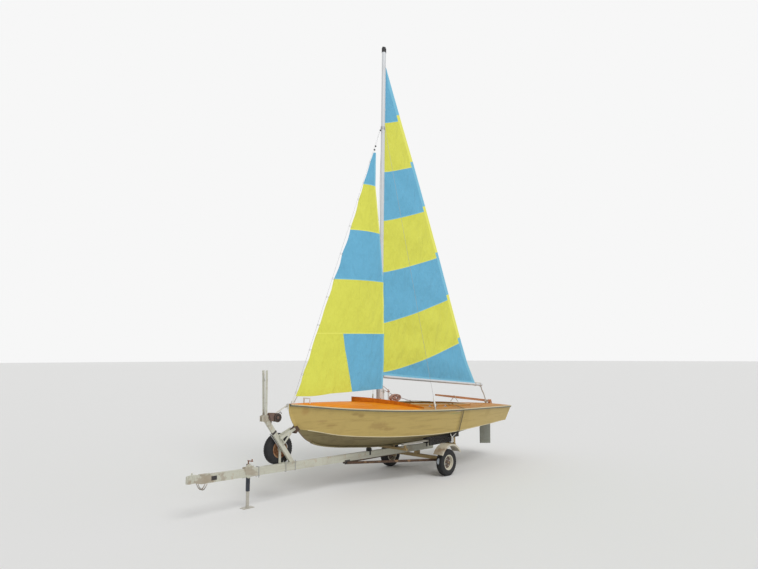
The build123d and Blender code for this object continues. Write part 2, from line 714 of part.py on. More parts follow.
def rudder_blade():
    """Balanced plate blade that reaches forward under the stern."""
    aft = [(3192, 700), (3190, 560), (3178, 204)]
    fore = [(2833, 240), (2836, 540), (2960, 580)]
    neck = [(pintle_axis(640) + 8, 640), (pintle_axis(700) + 19, 700)]
    outline = make_face(Polyline(*(aft + fore + neck), close=True))
    return extrude(Plane.YZ * outline, RUDDER_BLADE_PLY / 2, both=True)


def rudder_head():
    """Stock that holds the blade and the tiller, with its pintles."""
    low, high = (pintle_axis(650) + 17, 650), (pintle_axis(1046) + 17, 1046)
    outline = make_face(Polyline(low, (3262, 690), (3262, 960), (3225, 1046), high, close=True))
    stock = extrude(Plane.YZ * outline, RUDDER_HEAD_PLY / 2, both=True)
    blade = RUDDER_BLADE_PLY / 2 + SEAT_GAP
    stock = stock - block(-blade, blade, 2700, 3400, 0, 700 + SEAT_GAP)
    for z in (700, 900):
        centre = Vector(0, pintle_axis(z), z)
        pin = rod(tuple(centre - PINTLE_UP * 12), tuple(centre + PINTLE_UP * 40), PINTLE_DIAMETER)
        plane = Plane(origin=centre + PINTLE_UP * 16, x_dir=(1, 0, 0), z_dir=PINTLE_UP)
        arm = extrude(plane * (Pos(0, 15) * Rectangle(22, 30) + Circle(11)), 14)
        stock = stock + pin + arm
    half = TILLER_THICK / 2 + SEAT_GAP
    return stock - block(-half, half, 2900, 3240, tiller_z(3240) - TILLER_HEIGHT / 2 - SEAT_GAP, 1200)


def tiller_z(y):
    """Middle of the tiller at y."""
    return TILLER_FORE_Z - TILLER_SLOPE * (y - TILLER_FORE_Y)


def tiller():
    """Tapered wooden tiller, in a slot in the rudder head."""
    aft = 3236
    wires = []
    for y, size in ((TILLER_FORE_Y, 0.7), (2100, 1), (aft, 1)):
        half, tall = TILLER_THICK / 2 * size, TILLER_HEIGHT / 2 * size
        z = tiller_z(y)
        corners = [(half, y, z - tall), (half, y, z + tall), (-half, y, z + tall), (-half, y, z - tall)]
        wires.append(Wire.make_polygon(corners, close=True))
    return solid_between(wires, ruled=True)


def tongue_mid(y):
    """Middle of the drawbar at y."""
    return TONGUE_FRONT_Z - TONGUE_FALL * (y - TONGUE_FRONT_Y)


def tongue_top(y):
    """Upper face of the drawbar at y."""
    return tongue_mid(y) + TONGUE_HEIGHT / 2


def on_tongue(y, z=0):
    """Frame on the drawbar's top face, its y running aft along the bar."""
    aft = Vector(0, 1, -TONGUE_FALL).normalized()
    up = Vector(0, TONGUE_FALL, 1).normalized()
    return Plane(origin=Vector(0, y, tongue_top(y)) + up * z, x_dir=(1, 0, 0), z_dir=up)


def drawbar():
    """Box-section bar from the coupler to the rear cross beam."""
    aft = Vector(0, 1, -TONGUE_FALL).normalized()
    plane = Plane(origin=(0, TONGUE_FRONT_Y, TONGUE_FRONT_Z), x_dir=(1, 0, 0), z_dir=aft)
    inside = Rectangle(TONGUE_WIDTH - 2 * TONGUE_WALL, TONGUE_HEIGHT - 2 * TONGUE_WALL)
    return extrude(plane * (Rectangle(TONGUE_WIDTH, TONGUE_HEIGHT) - inside), TONGUE_REAR_Y - TONGUE_FRONT_Y)


def coupler():
    """Pressed coupler: a hollow nose over the ball, cheeks along the drawbar and a latch."""
    nose_y = COUPLER_NOSE_Y + 40
    low, high = COUPLER_BALL_Z - 40, COUPLER_BALL_Z + 40
    nose = Pos(0, nose_y, COUPLER_BALL_Z) * Cylinder(40, 80)
    half = TONGUE_WIDTH / 2 + SEAT_GAP
    end, front_z = TONGUE_FRONT_Y - 2, TONGUE_FRONT_Z
    under = [(nose_y, low), (nose_y + 44, low), (end, front_z - 44)]
    over = [(end, front_z + 50), (nose_y + 60, high + 10), (nose_y - 8, high + 6)]
    neck = side_plate(-27, 27, under + over)
    back = TONGUE_FRONT_Y + 130
    cheek_low = [(nose_y + 46, low + 2), (end, front_z - 49), (back, front_z - 53)]
    cheek_high = [(back, front_z + 46), (end, front_z + 49), (nose_y + 46, high + 6)]
    cheek = side_plate(half, half + 5, cheek_low + cheek_high)
    roof = on_tongue(TONGUE_FRONT_Y + 62, SEAT_GAP) * Pos(0, 0, 3) * Box(2 * half + 10, 140, 6)
    top = (0, nose_y + 30, COUPLER_BALL_Z + 68)
    latch = rod((0, nose_y + 8, COUPLER_BALL_Z + 20), top, 12)
    body = nose + neck + cheek + mirrored(cheek) + roof + latch + Pos(*top) * Sphere(10)
    socket = Pos(0, nose_y, low + BALL_SOCKET_DEPTH / 2) * Cylinder(BALL_SOCKET_RADIUS, BALL_SOCKET_DEPTH)
    dome = Pos(0, nose_y, low + BALL_SOCKET_DEPTH) * Sphere(BALL_SOCKET_RADIUS)
    return body - socket - dome


def jack_x():
    """Middle of the jack, on the starboard side of the drawbar."""
    return -(TONGUE_WIDTH / 2 + 8 + JACK_TUBE / 2)


def jack_body():
    """Jack's outer tube with its bush, lid and crank."""
    x = jack_x()
    low = JACK_TUBE_BOTTOM_Z
    outer = tube((x, JACK_Y, low), (x, JACK_Y, JACK_TUBE_TOP_Z), JACK_TUBE, JACK_WALL)
    bush_wall = (JACK_TUBE - 2 * JACK_WALL - JACK_LEG) / 2 - SEAT_GAP + 1
    bush_width = JACK_LEG + 2 * (SEAT_GAP + bush_wall)
    bush = tube((x, JACK_Y, low), (x, JACK_Y, low + JACK_BUSH), bush_width, bush_wall)
    lid = rod((x, JACK_Y, JACK_TUBE_TOP_Z), (x, JACK_Y, JACK_TUBE_TOP_Z + 6), JACK_TUBE)
    spindle = rod((x, JACK_Y, JACK_TUBE_TOP_Z), (x, JACK_Y, 582), 16)
    arm = block(x - 10, x + 90, JACK_Y - 9, JACK_Y + 9, 572, 582)
    knob = rod((x + 80, JACK_Y, 580), (x + 80, JACK_Y, 604), 18)
    return outer + bush + lid + spindle + arm + knob


def jack_leg():
    """Jack's inner tube with its foot plate."""
    x = jack_x()
    leg = tube((x, JACK_Y, JACK_FOOT_PLY), (x, JACK_Y, JACK_LEG_TOP_Z), JACK_LEG, JACK_WALL)
    plate = Pos(x, JACK_Y, JACK_FOOT_PLY / 2) * Box(JACK_FOOT_WIDTH, JACK_FOOT_LENGTH, JACK_FOOT_PLY)
    return leg + plate


def winch_post():
    """Leaning post on the drawbar with its base plate."""
    foot, head, lean = post_line()
    plane = Plane(origin=foot - lean * 60, x_dir=(1, 0, 0), z_dir=lean)
    ring = Rectangle(POST_WIDTH, POST_DEPTH) - Rectangle(POST_WIDTH - 6, POST_DEPTH - 6)
    post = extrude(plane * ring, (head - foot).length + 60)
    plate = on_tongue(POST_PLATE_Y, SEAT_GAP) * Pos(0, 0, 3) * Box(78, POST_PLATE_LENGTH, 6)
    x = TONGUE_WIDTH / 2 + SEAT_GAP + CLAMP_ROD / 2
    for y in CLAMP_PLACES:
        for side in (-x, x):
            plate = plate - rod((side, y, 400), (side, y, 600), CLAMP_ROD + 1)
    below = on_tongue(POST_FOOT_Y, 5.9) * Pos(0, 0, -100) * Box(200, 800, 200)
    return (post - below) + plate


def wheel_tyre(centre_x):
    """Tyre with a rounded tread."""
    r, w = TYRE_RADIUS, TYRE_WIDTH / 2
    bead, flank = RIM_RADIUS + 10, (RIM_RADIUS + r) / 2
    outline = make_face([
        Line((-w * 0.72, RIM_RADIUS), (w * 0.72, RIM_RADIUS)),
        Line((w * 0.72, RIM_RADIUS), (w * 0.72, bead)),
        ThreePointArc((w * 0.72, bead), (w, flank), (w * 0.78, r - 12)),
        ThreePointArc((w * 0.78, r - 12), (0, r), (-w * 0.78, r - 12)),
        ThreePointArc((-w * 0.78, r - 12), (-w, flank), (-w * 0.72, bead)),
        Line((-w * 0.72, bead), (-w * 0.72, RIM_RADIUS)),
    ])
    tyre = revolve(Plane.XY * outline, Axis.X)
    return Pos(centre_x, 0, 0) * tyre


def wheel_rim(centre_x):
    """Pressed rim with a dished centre and a hub cap, its open side outwards."""
    seat = TYRE_WIDTH / 2 * 0.72 + SEAT_GAP
    lip, w = RIM_RADIUS + 8, seat + 3.5
    r = RIM_RADIUS - SEAT_GAP
    bore = SPINDLE_DIAMETER / 2 + 1
    inside = [(-w, lip), (-w, r - 8), (4, r - 12), (2, 40), (-30, 36), (-30, bore)]
    hub = [(44, bore), (44, 22), (40, 30), (24, 34), (24, 46), (8, 60)]
    outside = hub + [(12, r - 10), (w, r - 6), (w, lip)]
    drum = [(seat, lip), (seat, r), (-seat, r), (-seat, lip)]
    rim = revolve(Plane.XY * make_face(Polyline(*(inside + outside + drum), close=True)), Axis.X)
    return Pos(centre_x, 0, 0) * rim


def axle():
    """Square beam with a stub at each end."""
    half, top = AXLE_BEAM / 2, AXLE_BEAM_Z + AXLE_BEAM / 2
    beam = block(-AXLE_HALF, AXLE_HALF, AXLE_Y - half, AXLE_Y + half, AXLE_BEAM_Z - half, top)
    drop = block(AXLE_HALF - 14, AXLE_HALF, AXLE_Y - 30, AXLE_Y + 30, TYRE_RADIUS - 26, top)
    start, end = (AXLE_HALF - 14, AXLE_Y, TYRE_RADIUS), (TRACK_HALF + 40, AXLE_Y, TYRE_RADIUS)
    stub = rod(start, end, SPINDLE_DIAMETER)
    saddle_top = tongue_mid(AXLE_Y + 40) - TONGUE_HEIGHT / 2 - SEAT_GAP
    saddle = block(-32, 32, AXLE_Y - 40, AXLE_Y + 40, top - 1, saddle_top)
    return beam + drop + stub + mirrored(drop) + mirrored(stub) + saddle


def mudguard():
    """Curved guard over the port wheel, with a lip turned down along its outboard edge."""
    inner, outer = MUDGUARD_RADIUS, MUDGUARD_RADIUS + MUDGUARD_PLY
    start, end = (radians(a) for a in MUDGUARD_ENDS)

    def at(radius, angle):
        return (AXLE_Y + radius * cos(angle), TYRE_RADIUS + radius * sin(angle))

    def sector(low, high):
        mid = (start + end) / 2
        return make_face([
            ThreePointArc(at(high, start), at(high, mid), at(high, end)), Line(at(high, end), at(low, end)),
            ThreePointArc(at(low, end), at(low, mid), at(low, start)), Line(at(low, start), at(high, start)),
        ])

    edge = MUDGUARD_INNER_X + MUDGUARD_WIDTH
    sheet = extrude(Plane.YZ.offset(MUDGUARD_INNER_X) * sector(inner, outer), MUDGUARD_WIDTH)
    lip = extrude(Plane.YZ.offset(edge - MUDGUARD_PLY) * sector(inner - MUDGUARD_LIP, outer), MUDGUARD_PLY)
    return sheet + lip


def mudguard_stay():
    """Bracket from the axle beam up to the guard."""
    top = TYRE_RADIUS + MUDGUARD_RADIUS - SEAT_GAP
    y0, y1, x0 = AXLE_Y - 20, AXLE_Y + 20, AXLE_HALF - 6
    upright = block(x0, AXLE_HALF, y0, y1, AXLE_BEAM_Z + AXLE_BEAM / 2 - 1, top)
    shelf = block(x0, MUDGUARD_INNER_X + 60, y0, y1, top - 6, top)
    return upright + shelf - mudguard()


def brace():
    """Port brace tube from under the drawbar to the axle."""
    under = tongue_mid(BRACE_FORE_Y) - TONGUE_HEIGHT / 2
    start = (TONGUE_WIDTH / 2 + 6, BRACE_FORE_Y, under - BRACE_DIAMETER / 2 + 0.7)
    end = (AXLE_HALF - 60, AXLE_Y - AXLE_BEAM / 2 - 10, AXLE_BEAM_Z - 20)
    return tube(start, end, BRACE_DIAMETER, 3)


def cross_beams():
    """Two beams across the drawbar that carry the bunks."""
    whole = []
    rail_low = BUNK_RAIL_Z - BUNK_RAIL_HEIGHT / 2 - SEAT_GAP
    for y in (CROSS_FORE_Y, CROSS_REAR_Y):
        z0 = tongue_top(y) + 1
        half = BUNK_X + 40 if y == CROSS_FORE_Y else CROSS_HALF
        beam = block(-half, half, y - CROSS_BEAM / 2, y + CROSS_BEAM / 2, z0, z0 + CROSS_BEAM)
        for side in (-1, 1):
            x = side * BUNK_X
            beam = beam + block(x - 16, x + 16, y - 16, y + 16, z0 + 10, rail_low)
        whole.append(beam)
    return whole[0] + whole[1]


def bunk_rail():
    """Port bunk's steel channel."""
    low, high = BUNK_RAIL_Z - BUNK_RAIL_HEIGHT / 2, BUNK_RAIL_Z + BUNK_RAIL_HEIGHT / 2
    half = BUNK_RAIL_WIDTH / 2
    bar = block(BUNK_X - half, BUNK_X + half, BUNK_FORE_Y, BUNK_AFT_Y, low, high)
    return bar - block(BUNK_X - half + 4, BUNK_X + half - 4, BUNK_FORE_Y - 1, BUNK_AFT_Y + 1, 0, high - 4)


def below_hull():
    """Everything inside the hull's outer skin and a little below it."""
    sections = []
    for y in hull_rows(2):
        chine, chine_z, keel_z = fair("chine_half", y) + 1, fair("chine_z", y) - 1.5, fair("keel_z", y) - 1.5
        top, sheer = fair("sheer_z", y), fair("sheer_half", y) + 1
        sections.append(section(y, [(sheer, top), (chine, chine_z), (0, keel_z), (0, top)]))
    half = skin(sections)
    return half


def bunk_pad():
    """Port padded bunk under the hull's bottom, with a padded board outboard of its rail."""
    z0 = BUNK_RAIL_Z + BUNK_RAIL_HEIGHT / 2 + SEAT_GAP
    half, side = BUNK_PAD_WIDTH / 2, BUNK_RAIL_WIDTH / 2 + SEAT_GAP
    pad = block(BUNK_X - half, BUNK_X + half, BUNK_PAD_FORE_Y, BUNK_AFT_Y, z0, 700)
    board = block(BUNK_X + side, BUNK_X + half, BUNK_BOARD_FORE_Y, BUNK_AFT_Y, BUNK_BOARD_LOW_Z, 700)
    return (pad + board) - below_hull()


def keel_rollers():
    """Rollers in brackets that straddle the drawbar and carry the keel."""
    pieces = []
    half = TONGUE_WIDTH / 2 + SEAT_GAP
    for y in ROLLER_PLACES:
        top = fair("keel_z", y) - KEEL_DEPTH - 1
        base = tongue_top(y)
        radius = max(8, min(24, (top - base - 4) / 2))
        middle = top - radius
        roller = rod((-34, y, middle), (34, y, middle), 2 * radius)
        pin = rod((-42, y, middle), (42, y, middle), 8)
        cheeks = [block(x, x + 5, y - 20, y + 20, base + 1.2, middle + 8) for x in (-41, 36)]
        foot = block(-41, 41, y - 26, y + 26, base + 0.8, base + 3.5)
        legs = [block(x, x + 5, y - 14, y + 14, base - 56, base + 3) for x in (-half - 5, half)]
        pieces.append(roller + pin + cheeks[0] + cheeks[1] + foot + legs[0] + legs[1])
    return pieces[0] + pieces[1]


def tie_strap():
    """Webbing over the boat from one bracket to the other."""
    y = STRAP_Y
    rail = fair("sheer_half", y) + SEAT_GAP + RAIL_WIDTH + 1
    rail_z = fair("sheer_z", y) + DECK_PLY + 3
    mid_z = fair("sheer_z", y) + fair("crown", y) + DECK_PLY + COAMING_ABOVE + 3
    foot = (rail - 118, 640)
    path = [foot, (rail - 0.4, rail_z - 38), (rail - 0.4, rail_z), (COCKPIT_HALF_AFT - 20, mid_z)]
    outer = [(x + STRAP_PLY, z + STRAP_PLY) for x, z in path]
    outer[0] = (foot[0] + STRAP_PLY, foot[1])
    half = path + [(0, mid_z)] + [(0, mid_z + STRAP_PLY)] + list(reversed(outer))
    plane = Plane(origin=(0, y - STRAP_WIDTH / 2, 0), x_dir=(1, 0, 0), z_dir=(0, -1, 0))
    band = extrude(plane * make_face(Polyline(*half, close=True)), -STRAP_WIDTH)
    return band + mirrored(band)


def bow_stop():
    """Rubber block with a V notch, square to the stem's face."""
    along = Vector(0, 0.645, -0.765)
    plane = Plane(origin=(0, -1670.5, 920.5), x_dir=(1, 0, 0), z_dir=along)
    body = plane * Pos(0, 22, 0) * Box(84, 80, 66)
    notch = extrude(plane.offset(-60) * make_face(Polyline((0, 9), (70, -61), (-70, -61), close=True)), 120)
    return body - notch


def post_envelope():
    """Space that the winch post fills, with its seat's gap."""
    foot, head, lean = post_line()
    plane = Plane(origin=foot, x_dir=(1, 0, 0), z_dir=lean)
    outline = Rectangle(POST_WIDTH + 2 * SEAT_GAP, POST_DEPTH + 2 * SEAT_GAP)
    return extrude(plane * outline, (head - foot).length + 1)


def winch_strap():
    """Webbing wound on the winch drum and led to the bow eye, with its hook."""
    y, z = WINCH_Y, WINCH_Z
    wound = tube((-19, y, z), (19, y, z), WINCH_WOUND, (WINCH_WOUND - WINCH_DRUM) / 2 - SEAT_GAP)
    end = Vector(0, BOW_Y - 40, 1232)
    reach = atan2(end.Z - z, end.Y - y)
    lift = acos((WINCH_WOUND / 2 - 1.5) / (end - Vector(0, y, z)).length)
    turn = reach + lift
    start = Vector(0, y + cos(turn) * (WINCH_WOUND / 2 - 1.5), z + sin(turn) * (WINCH_WOUND / 2 - 1.5))
    plane = Plane(origin=start, x_dir=(1, 0, 0), z_dir=end - start)
    band = extrude(plane * Rectangle(38, 3), (end - start).length)
    hook = Pos(0, BOW_Y - 30, 1236) * Rot(0, 90, 0) * Torus(13, 4)
    return wound + band + hook - stem_fitting()


def mast_crutch():
    """Fork on top of the winch post that carries the lowered mast, with the plates it is bolted to."""
    x0 = POST_WIDTH / 2 + SEAT_GAP
    whole = rod((-x0 - 15, -2206, 1100), (x0 + 15, -2206, 1100), 16)
    for side in (-1, 1):
        start = Vector(side * 27, -2186, 1062)
        end = Vector(side * 38, -2199, 1709)
        plane = Plane(origin=start, x_dir=(1, 0, 0), z_dir=end - start)
        arm = extrude(plane * Rectangle(10, 30), (end - start).length)
        plate = side_plate(x0, x0 + 5, [(-2248, 1056), (-2190, 1046), (-2150, 1062), (-2150, 1128),
                                        (-2200, 1140), (-2248, 1126)])
        whole = whole + arm + (plate if side > 0 else mirrored(plate))
    return whole


def spare_carrier():
    """Bracket on the drawbar that holds the spare wheel by its hub."""
    x1 = SPARE_X + 68
    y0, y1 = SPARE_Y - 41, SPARE_Y - 5
    base = tongue_top(y0) + SEAT_GAP
    upright = block(x1, x1 + 8, y0, y1, base, SPARE_Z + 30)
    foot = block(x1, TONGUE_WIDTH / 2, y0, y1, base, base + 6)
    flange = rod((x1 + 1, SPARE_Y, SPARE_Z), (SPARE_X + 30 + SEAT_GAP, SPARE_Y, SPARE_Z), 64)
    stub = rod((x1, SPARE_Y, SPARE_Z), (SPARE_X - 44, SPARE_Y, SPARE_Z), 22)
    return upright + foot + flange + stub


def keel_band(rows, above, below):
    """Outline along the keel's line, from one height above it to one below."""
    line = [(y, fair("keel_z", y)) for y in rows]
    top = Spline(*[(y, z + above) for y, z in line])
    low = Spline(*[(y, z - below) for y, z in line])
    ends = [Line((y, z + above), (y, z - below)) for y, z in (line[0], line[-1])]
    return Plane.YZ * make_face([top, ends[1], low, ends[0]])


def mast_section(grow):
    """Oval of the mast, grown by an amount all round."""
    return Ellipse(MAST_BREADTH / 2 + grow, MAST_FORE_AFT / 2 + grow)


def side_plate(x0, x1, points):
    """Flat plate between two values of x, from its outline's corners in y and z."""
    return extrude(Plane.YZ.offset(x0) * make_face(Polyline(*points, close=True)), x1 - x0)


def jack_bracket():
    """Shield-shaped plate on the drawbar's near side, a long plate behind it and two bolts that join them."""
    half = TONGUE_WIDTH / 2 + SEAT_GAP
    y, mid = JACK_PLATE_Y, tongue_mid(JACK_PLATE_Y)
    left, right = (y - 55, mid + 50), (y + 55, mid + 50)
    arch = ThreePointArc(left, (y, mid + 105), right)
    low = [(y + 42, mid - 12), (y + 12, mid - 67), (y - 12, mid - 67), (y - 42, mid - 12)]
    near = extrude(Plane.YZ.offset(half) * make_face([arch, Polyline(right, *low, left)]), 6)
    far = block(jack_x() + JACK_TUBE / 2 + SEAT_GAP, -half, y - 55, y + 110, mid - 66, mid + 66)
    whole = near + far
    for z in (-58, 58):
        whole = whole + rod((-half - 16, y, mid + z), (half + 14, y, mid + z), 11)
    return whole


def clamp_at(y, plate_top, nut_side):
    """U-bolt round the drawbar with a nut on each leg, its bend on the side away from the nuts."""
    x = TONGUE_WIDTH / 2 + SEAT_GAP + CLAMP_ROD / 2
    bend = tongue_mid(y) - nut_side * (TONGUE_HEIGHT / 2 + 0.6 + CLAMP_ROD / 2)
    tip = tongue_mid(y) + nut_side * (TONGUE_HEIGHT / 2 + plate_top + 22)
    nut_from = tongue_mid(y) + nut_side * (TONGUE_HEIGHT / 2 + plate_top + 0.5)
    whole = rod((-x - CLAMP_ROD / 2, y, bend), (x + CLAMP_ROD / 2, y, bend), CLAMP_ROD)
    for side in (-x, x):
        whole = whole + rod((side, y, bend), (side, y, tip), CLAMP_ROD)
        whole = whole + rod((side, y, nut_from), (side, y, nut_from + nut_side * 8), 15)
    return whole


def frame_clamps():
    """U-bolts that hold the winch post's base plate, and one more behind the jack."""
    clamps = [clamp_at(y, 6.3, 1) for y in CLAMP_PLACES]
    jack_y = JACK_PLATE_Y + 151
    top = tongue_mid(jack_y) - TONGUE_HEIGHT / 2 - 1
    strap = block(-37, 37, jack_y - 12, jack_y + 12, top - 4, top)
    legs = clamp_at(jack_y, 5.1, -1)
    return together(clamps[0], clamps[1], legs + strap)


def chine_upright():
    """Post at the port end of the rear cross beam."""
    x0 = CROSS_HALF - 40
    z0 = tongue_top(CROSS_REAR_Y) + 1 + CROSS_BEAM
    return block(x0, x0 + 30, CROSS_REAR_Y - 20, CROSS_REAR_Y + 20, z0 - 1, CHINE_PAD_Z - SEAT_GAP)


def chine_pad():
    """Port rubber pad on its post, under the turn of the hull."""
    x0 = CROSS_HALF - 70
    pad = block(x0, x0 + 85, CROSS_REAR_Y - CHINE_PAD_HALF, CROSS_REAR_Y + CHINE_PAD_HALF, CHINE_PAD_Z, 700)
    return pad - below_hull()


def post_line():
    """Foot, head and direction of the leaning post."""
    foot = Vector(0, POST_FOOT_Y, tongue_top(POST_FOOT_Y) + 6)
    head = Vector(0, POST_TOP_Y, POST_TOP_Z)
    return foot, head, (head - foot).normalized()


def on_post(z, out=0):
    """Frame on the post's aft face, at the height of the post's middle, its y pointing away from the post."""
    foot, head, lean = post_line()
    origin = foot + lean * ((z - foot.Z) / lean.Z)
    plane = Plane(origin=origin, x_dir=(1, 0, 0), z_dir=lean)
    return plane * Pos(0, POST_DEPTH / 2 + SEAT_GAP + out, 0)


def bow_stop_arms():
    """Plate on the post's aft face with a forked arm on each side of the rubber block."""
    x1 = ARM_X + 5
    plate = on_post(790, 3) * Box(2 * x1, 6, 130)
    arm_low, arm_high = [(-1964, 812), (-1942, 806), (-1712, 906)], [(-1722, 936), (-1748, 930), (-1966, 838)]
    arm = side_plate(ARM_X, x1, arm_low + arm_high)
    strut = side_plate(ARM_X, x1, [(-1916, 748), (-1890, 744), (-1772, 868), (-1792, 890)])
    bolt = rod((x1 - 1, -1738, 918), (x1 + 7, -1738, 918), 17)
    side = arm + strut + bolt
    return (plate + side + mirrored(side)) - post_envelope()


def winch_frame():
    """Two side plates that reach aft from the head of the post and carry the drum's shaft."""
    x0, x1 = WINCH_HALF, WINCH_HALF + 4
    y, z = WINCH_Y, WINCH_Z
    foot = on_post(1050, 3) * Box(2 * x1, 6, 84)
    lower = [(y - 96, z - 42), (y - 18, z - 24), (y + 14, z - 18), (y + 24, z)]
    upper = [(y + 22, z + 30), (y, z + 58), (y - 100, z + 66), (y - 132, z + 36)]
    plate = side_plate(x0, x1, lower + upper)
    plate = plate - rod((x0 - 1, y, z), (x1 + 1, y, z), 17)
    return (foot + plate + mirrored(plate)) - post_envelope()


def winch_drum():
    """Drum with its flanges, shaft and ratchet wheel, and the crank on the far side."""
    y, z = WINCH_Y, WINCH_Z
    drum = rod((-27, y, z), (27, y, z), WINCH_DRUM)
    for x0, x1 in ((-27, -22), (22, 27), (WINCH_HALF + 8, WINCH_HALF + 15)):
        drum = drum + rod((x0, y, z), (x1, y, z), WINCH_FLANGE)
    far = -WINCH_HALF - 33
    shaft = rod((far, y, z), (WINCH_HALF + 22, y, z), 16)
    crank = block(far - 8, far, y - 118, y + 14, z - 9, z + 9)
    grip = rod((far - 4, y - 108, z), (far - 66, y - 108, z), 24)
    return drum + shaft + crank + grip


def build():
    """All pieces by name."""
    pieces = {}
    panel = side_panel()
    pieces["side_panel_port"] = panel
    pieces["side_panel_starboard"] = mirrored(panel)
    bottom = bottom_panel()
    pieces["bottom_panel_port"] = bottom
    pieces["bottom_panel_starboard"] = mirrored(bottom)
    pieces["stem"] = stem()
    pieces["keel"] = keel()
    pieces["transom"] = transom()
    fore, side, aft = decks()
    pieces["foredeck"] = fore
    pieces["side_decks"] = pair(side)
    pieces["aft_deck"] = aft
    pieces["coaming"] = coaming()
    pieces["rub_rails"] = pair(rub_rail())
    pieces["splash_board"] = splash_board()
    pieces["bulkheads"] = together(bulkhead(COCKPIT_FORE_Y - 2), bulkhead(COCKPIT_AFT_Y + BULKHEAD_PLY + 2))
    pieces["cockpit_floor"] = cockpit_floor()
    pieces["board_trunk"] = board_trunk()
    pieces["centreboard"] = centreboard()
    pieces["thwart"] = thwart()
    pieces["bow_fittings"] = together(stem_fitting(), bow_handle())
    pieces["rudder_gudgeons"] = rudder_gudgeons()
    pieces["mast"] = mast()
    pieces["mast_cap"] = mast_cap()
    pieces["mast_fittings"] = together(hounds(), gooseneck())
    pieces["mast_step"] = mast_step()
    pieces["forestay"] = forestay()
    pieces["shrouds"] = pair(shroud())
    pieces["jib"] = jib()
    pieces["boom"] = boom()
    pieces["mainsail"] = mainsail()
    pieces["rudder_blade"] = rudder_blade()
    pieces["rudder_head"] = rudder_head()
    pieces["tiller"] = tiller()
    pieces["drawbar"] = drawbar()
    pieces["coupler"] = coupler()
    pieces["jack_bracket"] = jack_bracket()
    pieces["jack_body"] = jack_body()
    pieces["jack_leg"] = jack_leg()
    pieces["winch_post"] = winch_post()
    pieces["frame_clamps"] = frame_clamps()
    pieces["winch_frame"] = winch_frame()
    pieces["winch_drum"] = winch_drum()
    pieces["winch_strap"] = winch_strap()
    pieces["bow_stop"] = bow_stop()
    pieces["bow_stop_arms"] = bow_stop_arms()
    pieces["mast_crutch"] = mast_crutch()
    at_spare = Pos(SPARE_X, SPARE_Y, SPARE_Z)
    pieces["spare_tyre"] = at_spare * wheel_tyre(0)
    pieces["spare_rim"] = at_spare * mirrored(wheel_rim(0))
    pieces["spare_carrier"] = spare_carrier()
    at_axle = Pos(0, AXLE_Y, TYRE_RADIUS)
    pieces["wheel_tyre_port"] = at_axle * wheel_tyre(TRACK_HALF)
    pieces["wheel_rim_port"] = at_axle * wheel_rim(TRACK_HALF)
    pieces["wheel_tyre_starboard"] = mirrored(pieces["wheel_tyre_port"])
    pieces["wheel_rim_starboard"] = mirrored(pieces["wheel_rim_port"])
    stay = mudguard_stay()
    pieces["axle"] = axle() + stay + mirrored(stay)
    pieces["mudguards"] = pair(mudguard())
    pieces["brace_tubes"] = pair(brace())
    post = chine_upright()
    pieces["cross_beams"] = cross_beams() + post + mirrored(post)
    pieces["chine_pads"] = pair(chine_pad())
    pieces["bunk_rails"] = pair(bunk_rail())
    pieces["bunk_pads"] = pair(bunk_pad())
    pieces["keel_rollers"] = keel_rollers()
    pieces["tie_strap"] = tie_strap()
    return pieces


def main():
    """Write one STEP file for each piece."""
    os.makedirs("parts", exist_ok=True)
    for name, piece in build().items():
        export_step(piece, f"parts/{name}.step")


if __name__ == "__main__":
    main()
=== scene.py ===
"""Dressed sailing dinghy on its road trailer, rigged with both striped sails.

Every size is in metres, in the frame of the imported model: bow to -Y, port to +X, masthead to +Z and
the ground at z = 0.  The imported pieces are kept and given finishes, and cloth, ropes, tyres, chains and
fastenings are built here on top of them.
"""
import json
import logging
from dataclasses import dataclass
from enum import Enum
from math import acos, atan2, copysign, cos, exp, pi, radians, sin, tan
from operator import itemgetter
from typing import Callable, Iterable, Sequence

import bmesh
import bpy
import numpy as np
from bpy.types import ID, Material, Mesh, Node, NodeSocket, NodeTree, Object
from mathutils import Matrix, Vector
from mathutils.bvhtree import BVHTree


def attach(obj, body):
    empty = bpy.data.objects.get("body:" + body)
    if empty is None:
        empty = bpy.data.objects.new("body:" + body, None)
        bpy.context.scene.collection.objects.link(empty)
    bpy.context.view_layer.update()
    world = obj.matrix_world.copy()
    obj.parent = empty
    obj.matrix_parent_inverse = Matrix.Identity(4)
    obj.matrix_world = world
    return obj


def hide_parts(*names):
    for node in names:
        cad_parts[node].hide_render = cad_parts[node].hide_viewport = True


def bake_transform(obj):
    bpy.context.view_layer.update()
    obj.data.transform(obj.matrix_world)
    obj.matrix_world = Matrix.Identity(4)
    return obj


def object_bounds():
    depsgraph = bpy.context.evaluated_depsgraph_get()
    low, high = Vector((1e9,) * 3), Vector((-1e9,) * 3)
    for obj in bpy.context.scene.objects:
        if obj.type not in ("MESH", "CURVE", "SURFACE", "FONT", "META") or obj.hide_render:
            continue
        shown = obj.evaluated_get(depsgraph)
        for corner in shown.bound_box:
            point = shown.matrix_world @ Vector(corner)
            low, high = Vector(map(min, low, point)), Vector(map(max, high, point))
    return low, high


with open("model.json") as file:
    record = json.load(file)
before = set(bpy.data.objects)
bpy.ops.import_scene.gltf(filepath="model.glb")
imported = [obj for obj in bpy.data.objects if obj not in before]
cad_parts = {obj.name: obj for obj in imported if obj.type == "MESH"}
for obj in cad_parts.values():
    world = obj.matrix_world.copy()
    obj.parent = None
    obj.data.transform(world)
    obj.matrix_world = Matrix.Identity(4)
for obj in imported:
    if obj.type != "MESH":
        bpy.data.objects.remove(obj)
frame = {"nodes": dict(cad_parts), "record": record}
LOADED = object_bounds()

LOG = logging.getLogger("dinghy")
NODES = frame["nodes"]
FULL = 2 * pi
QUARTER = pi / 2
X_AXIS = (1, 0, 0)
STEEL = "steel_fitting"
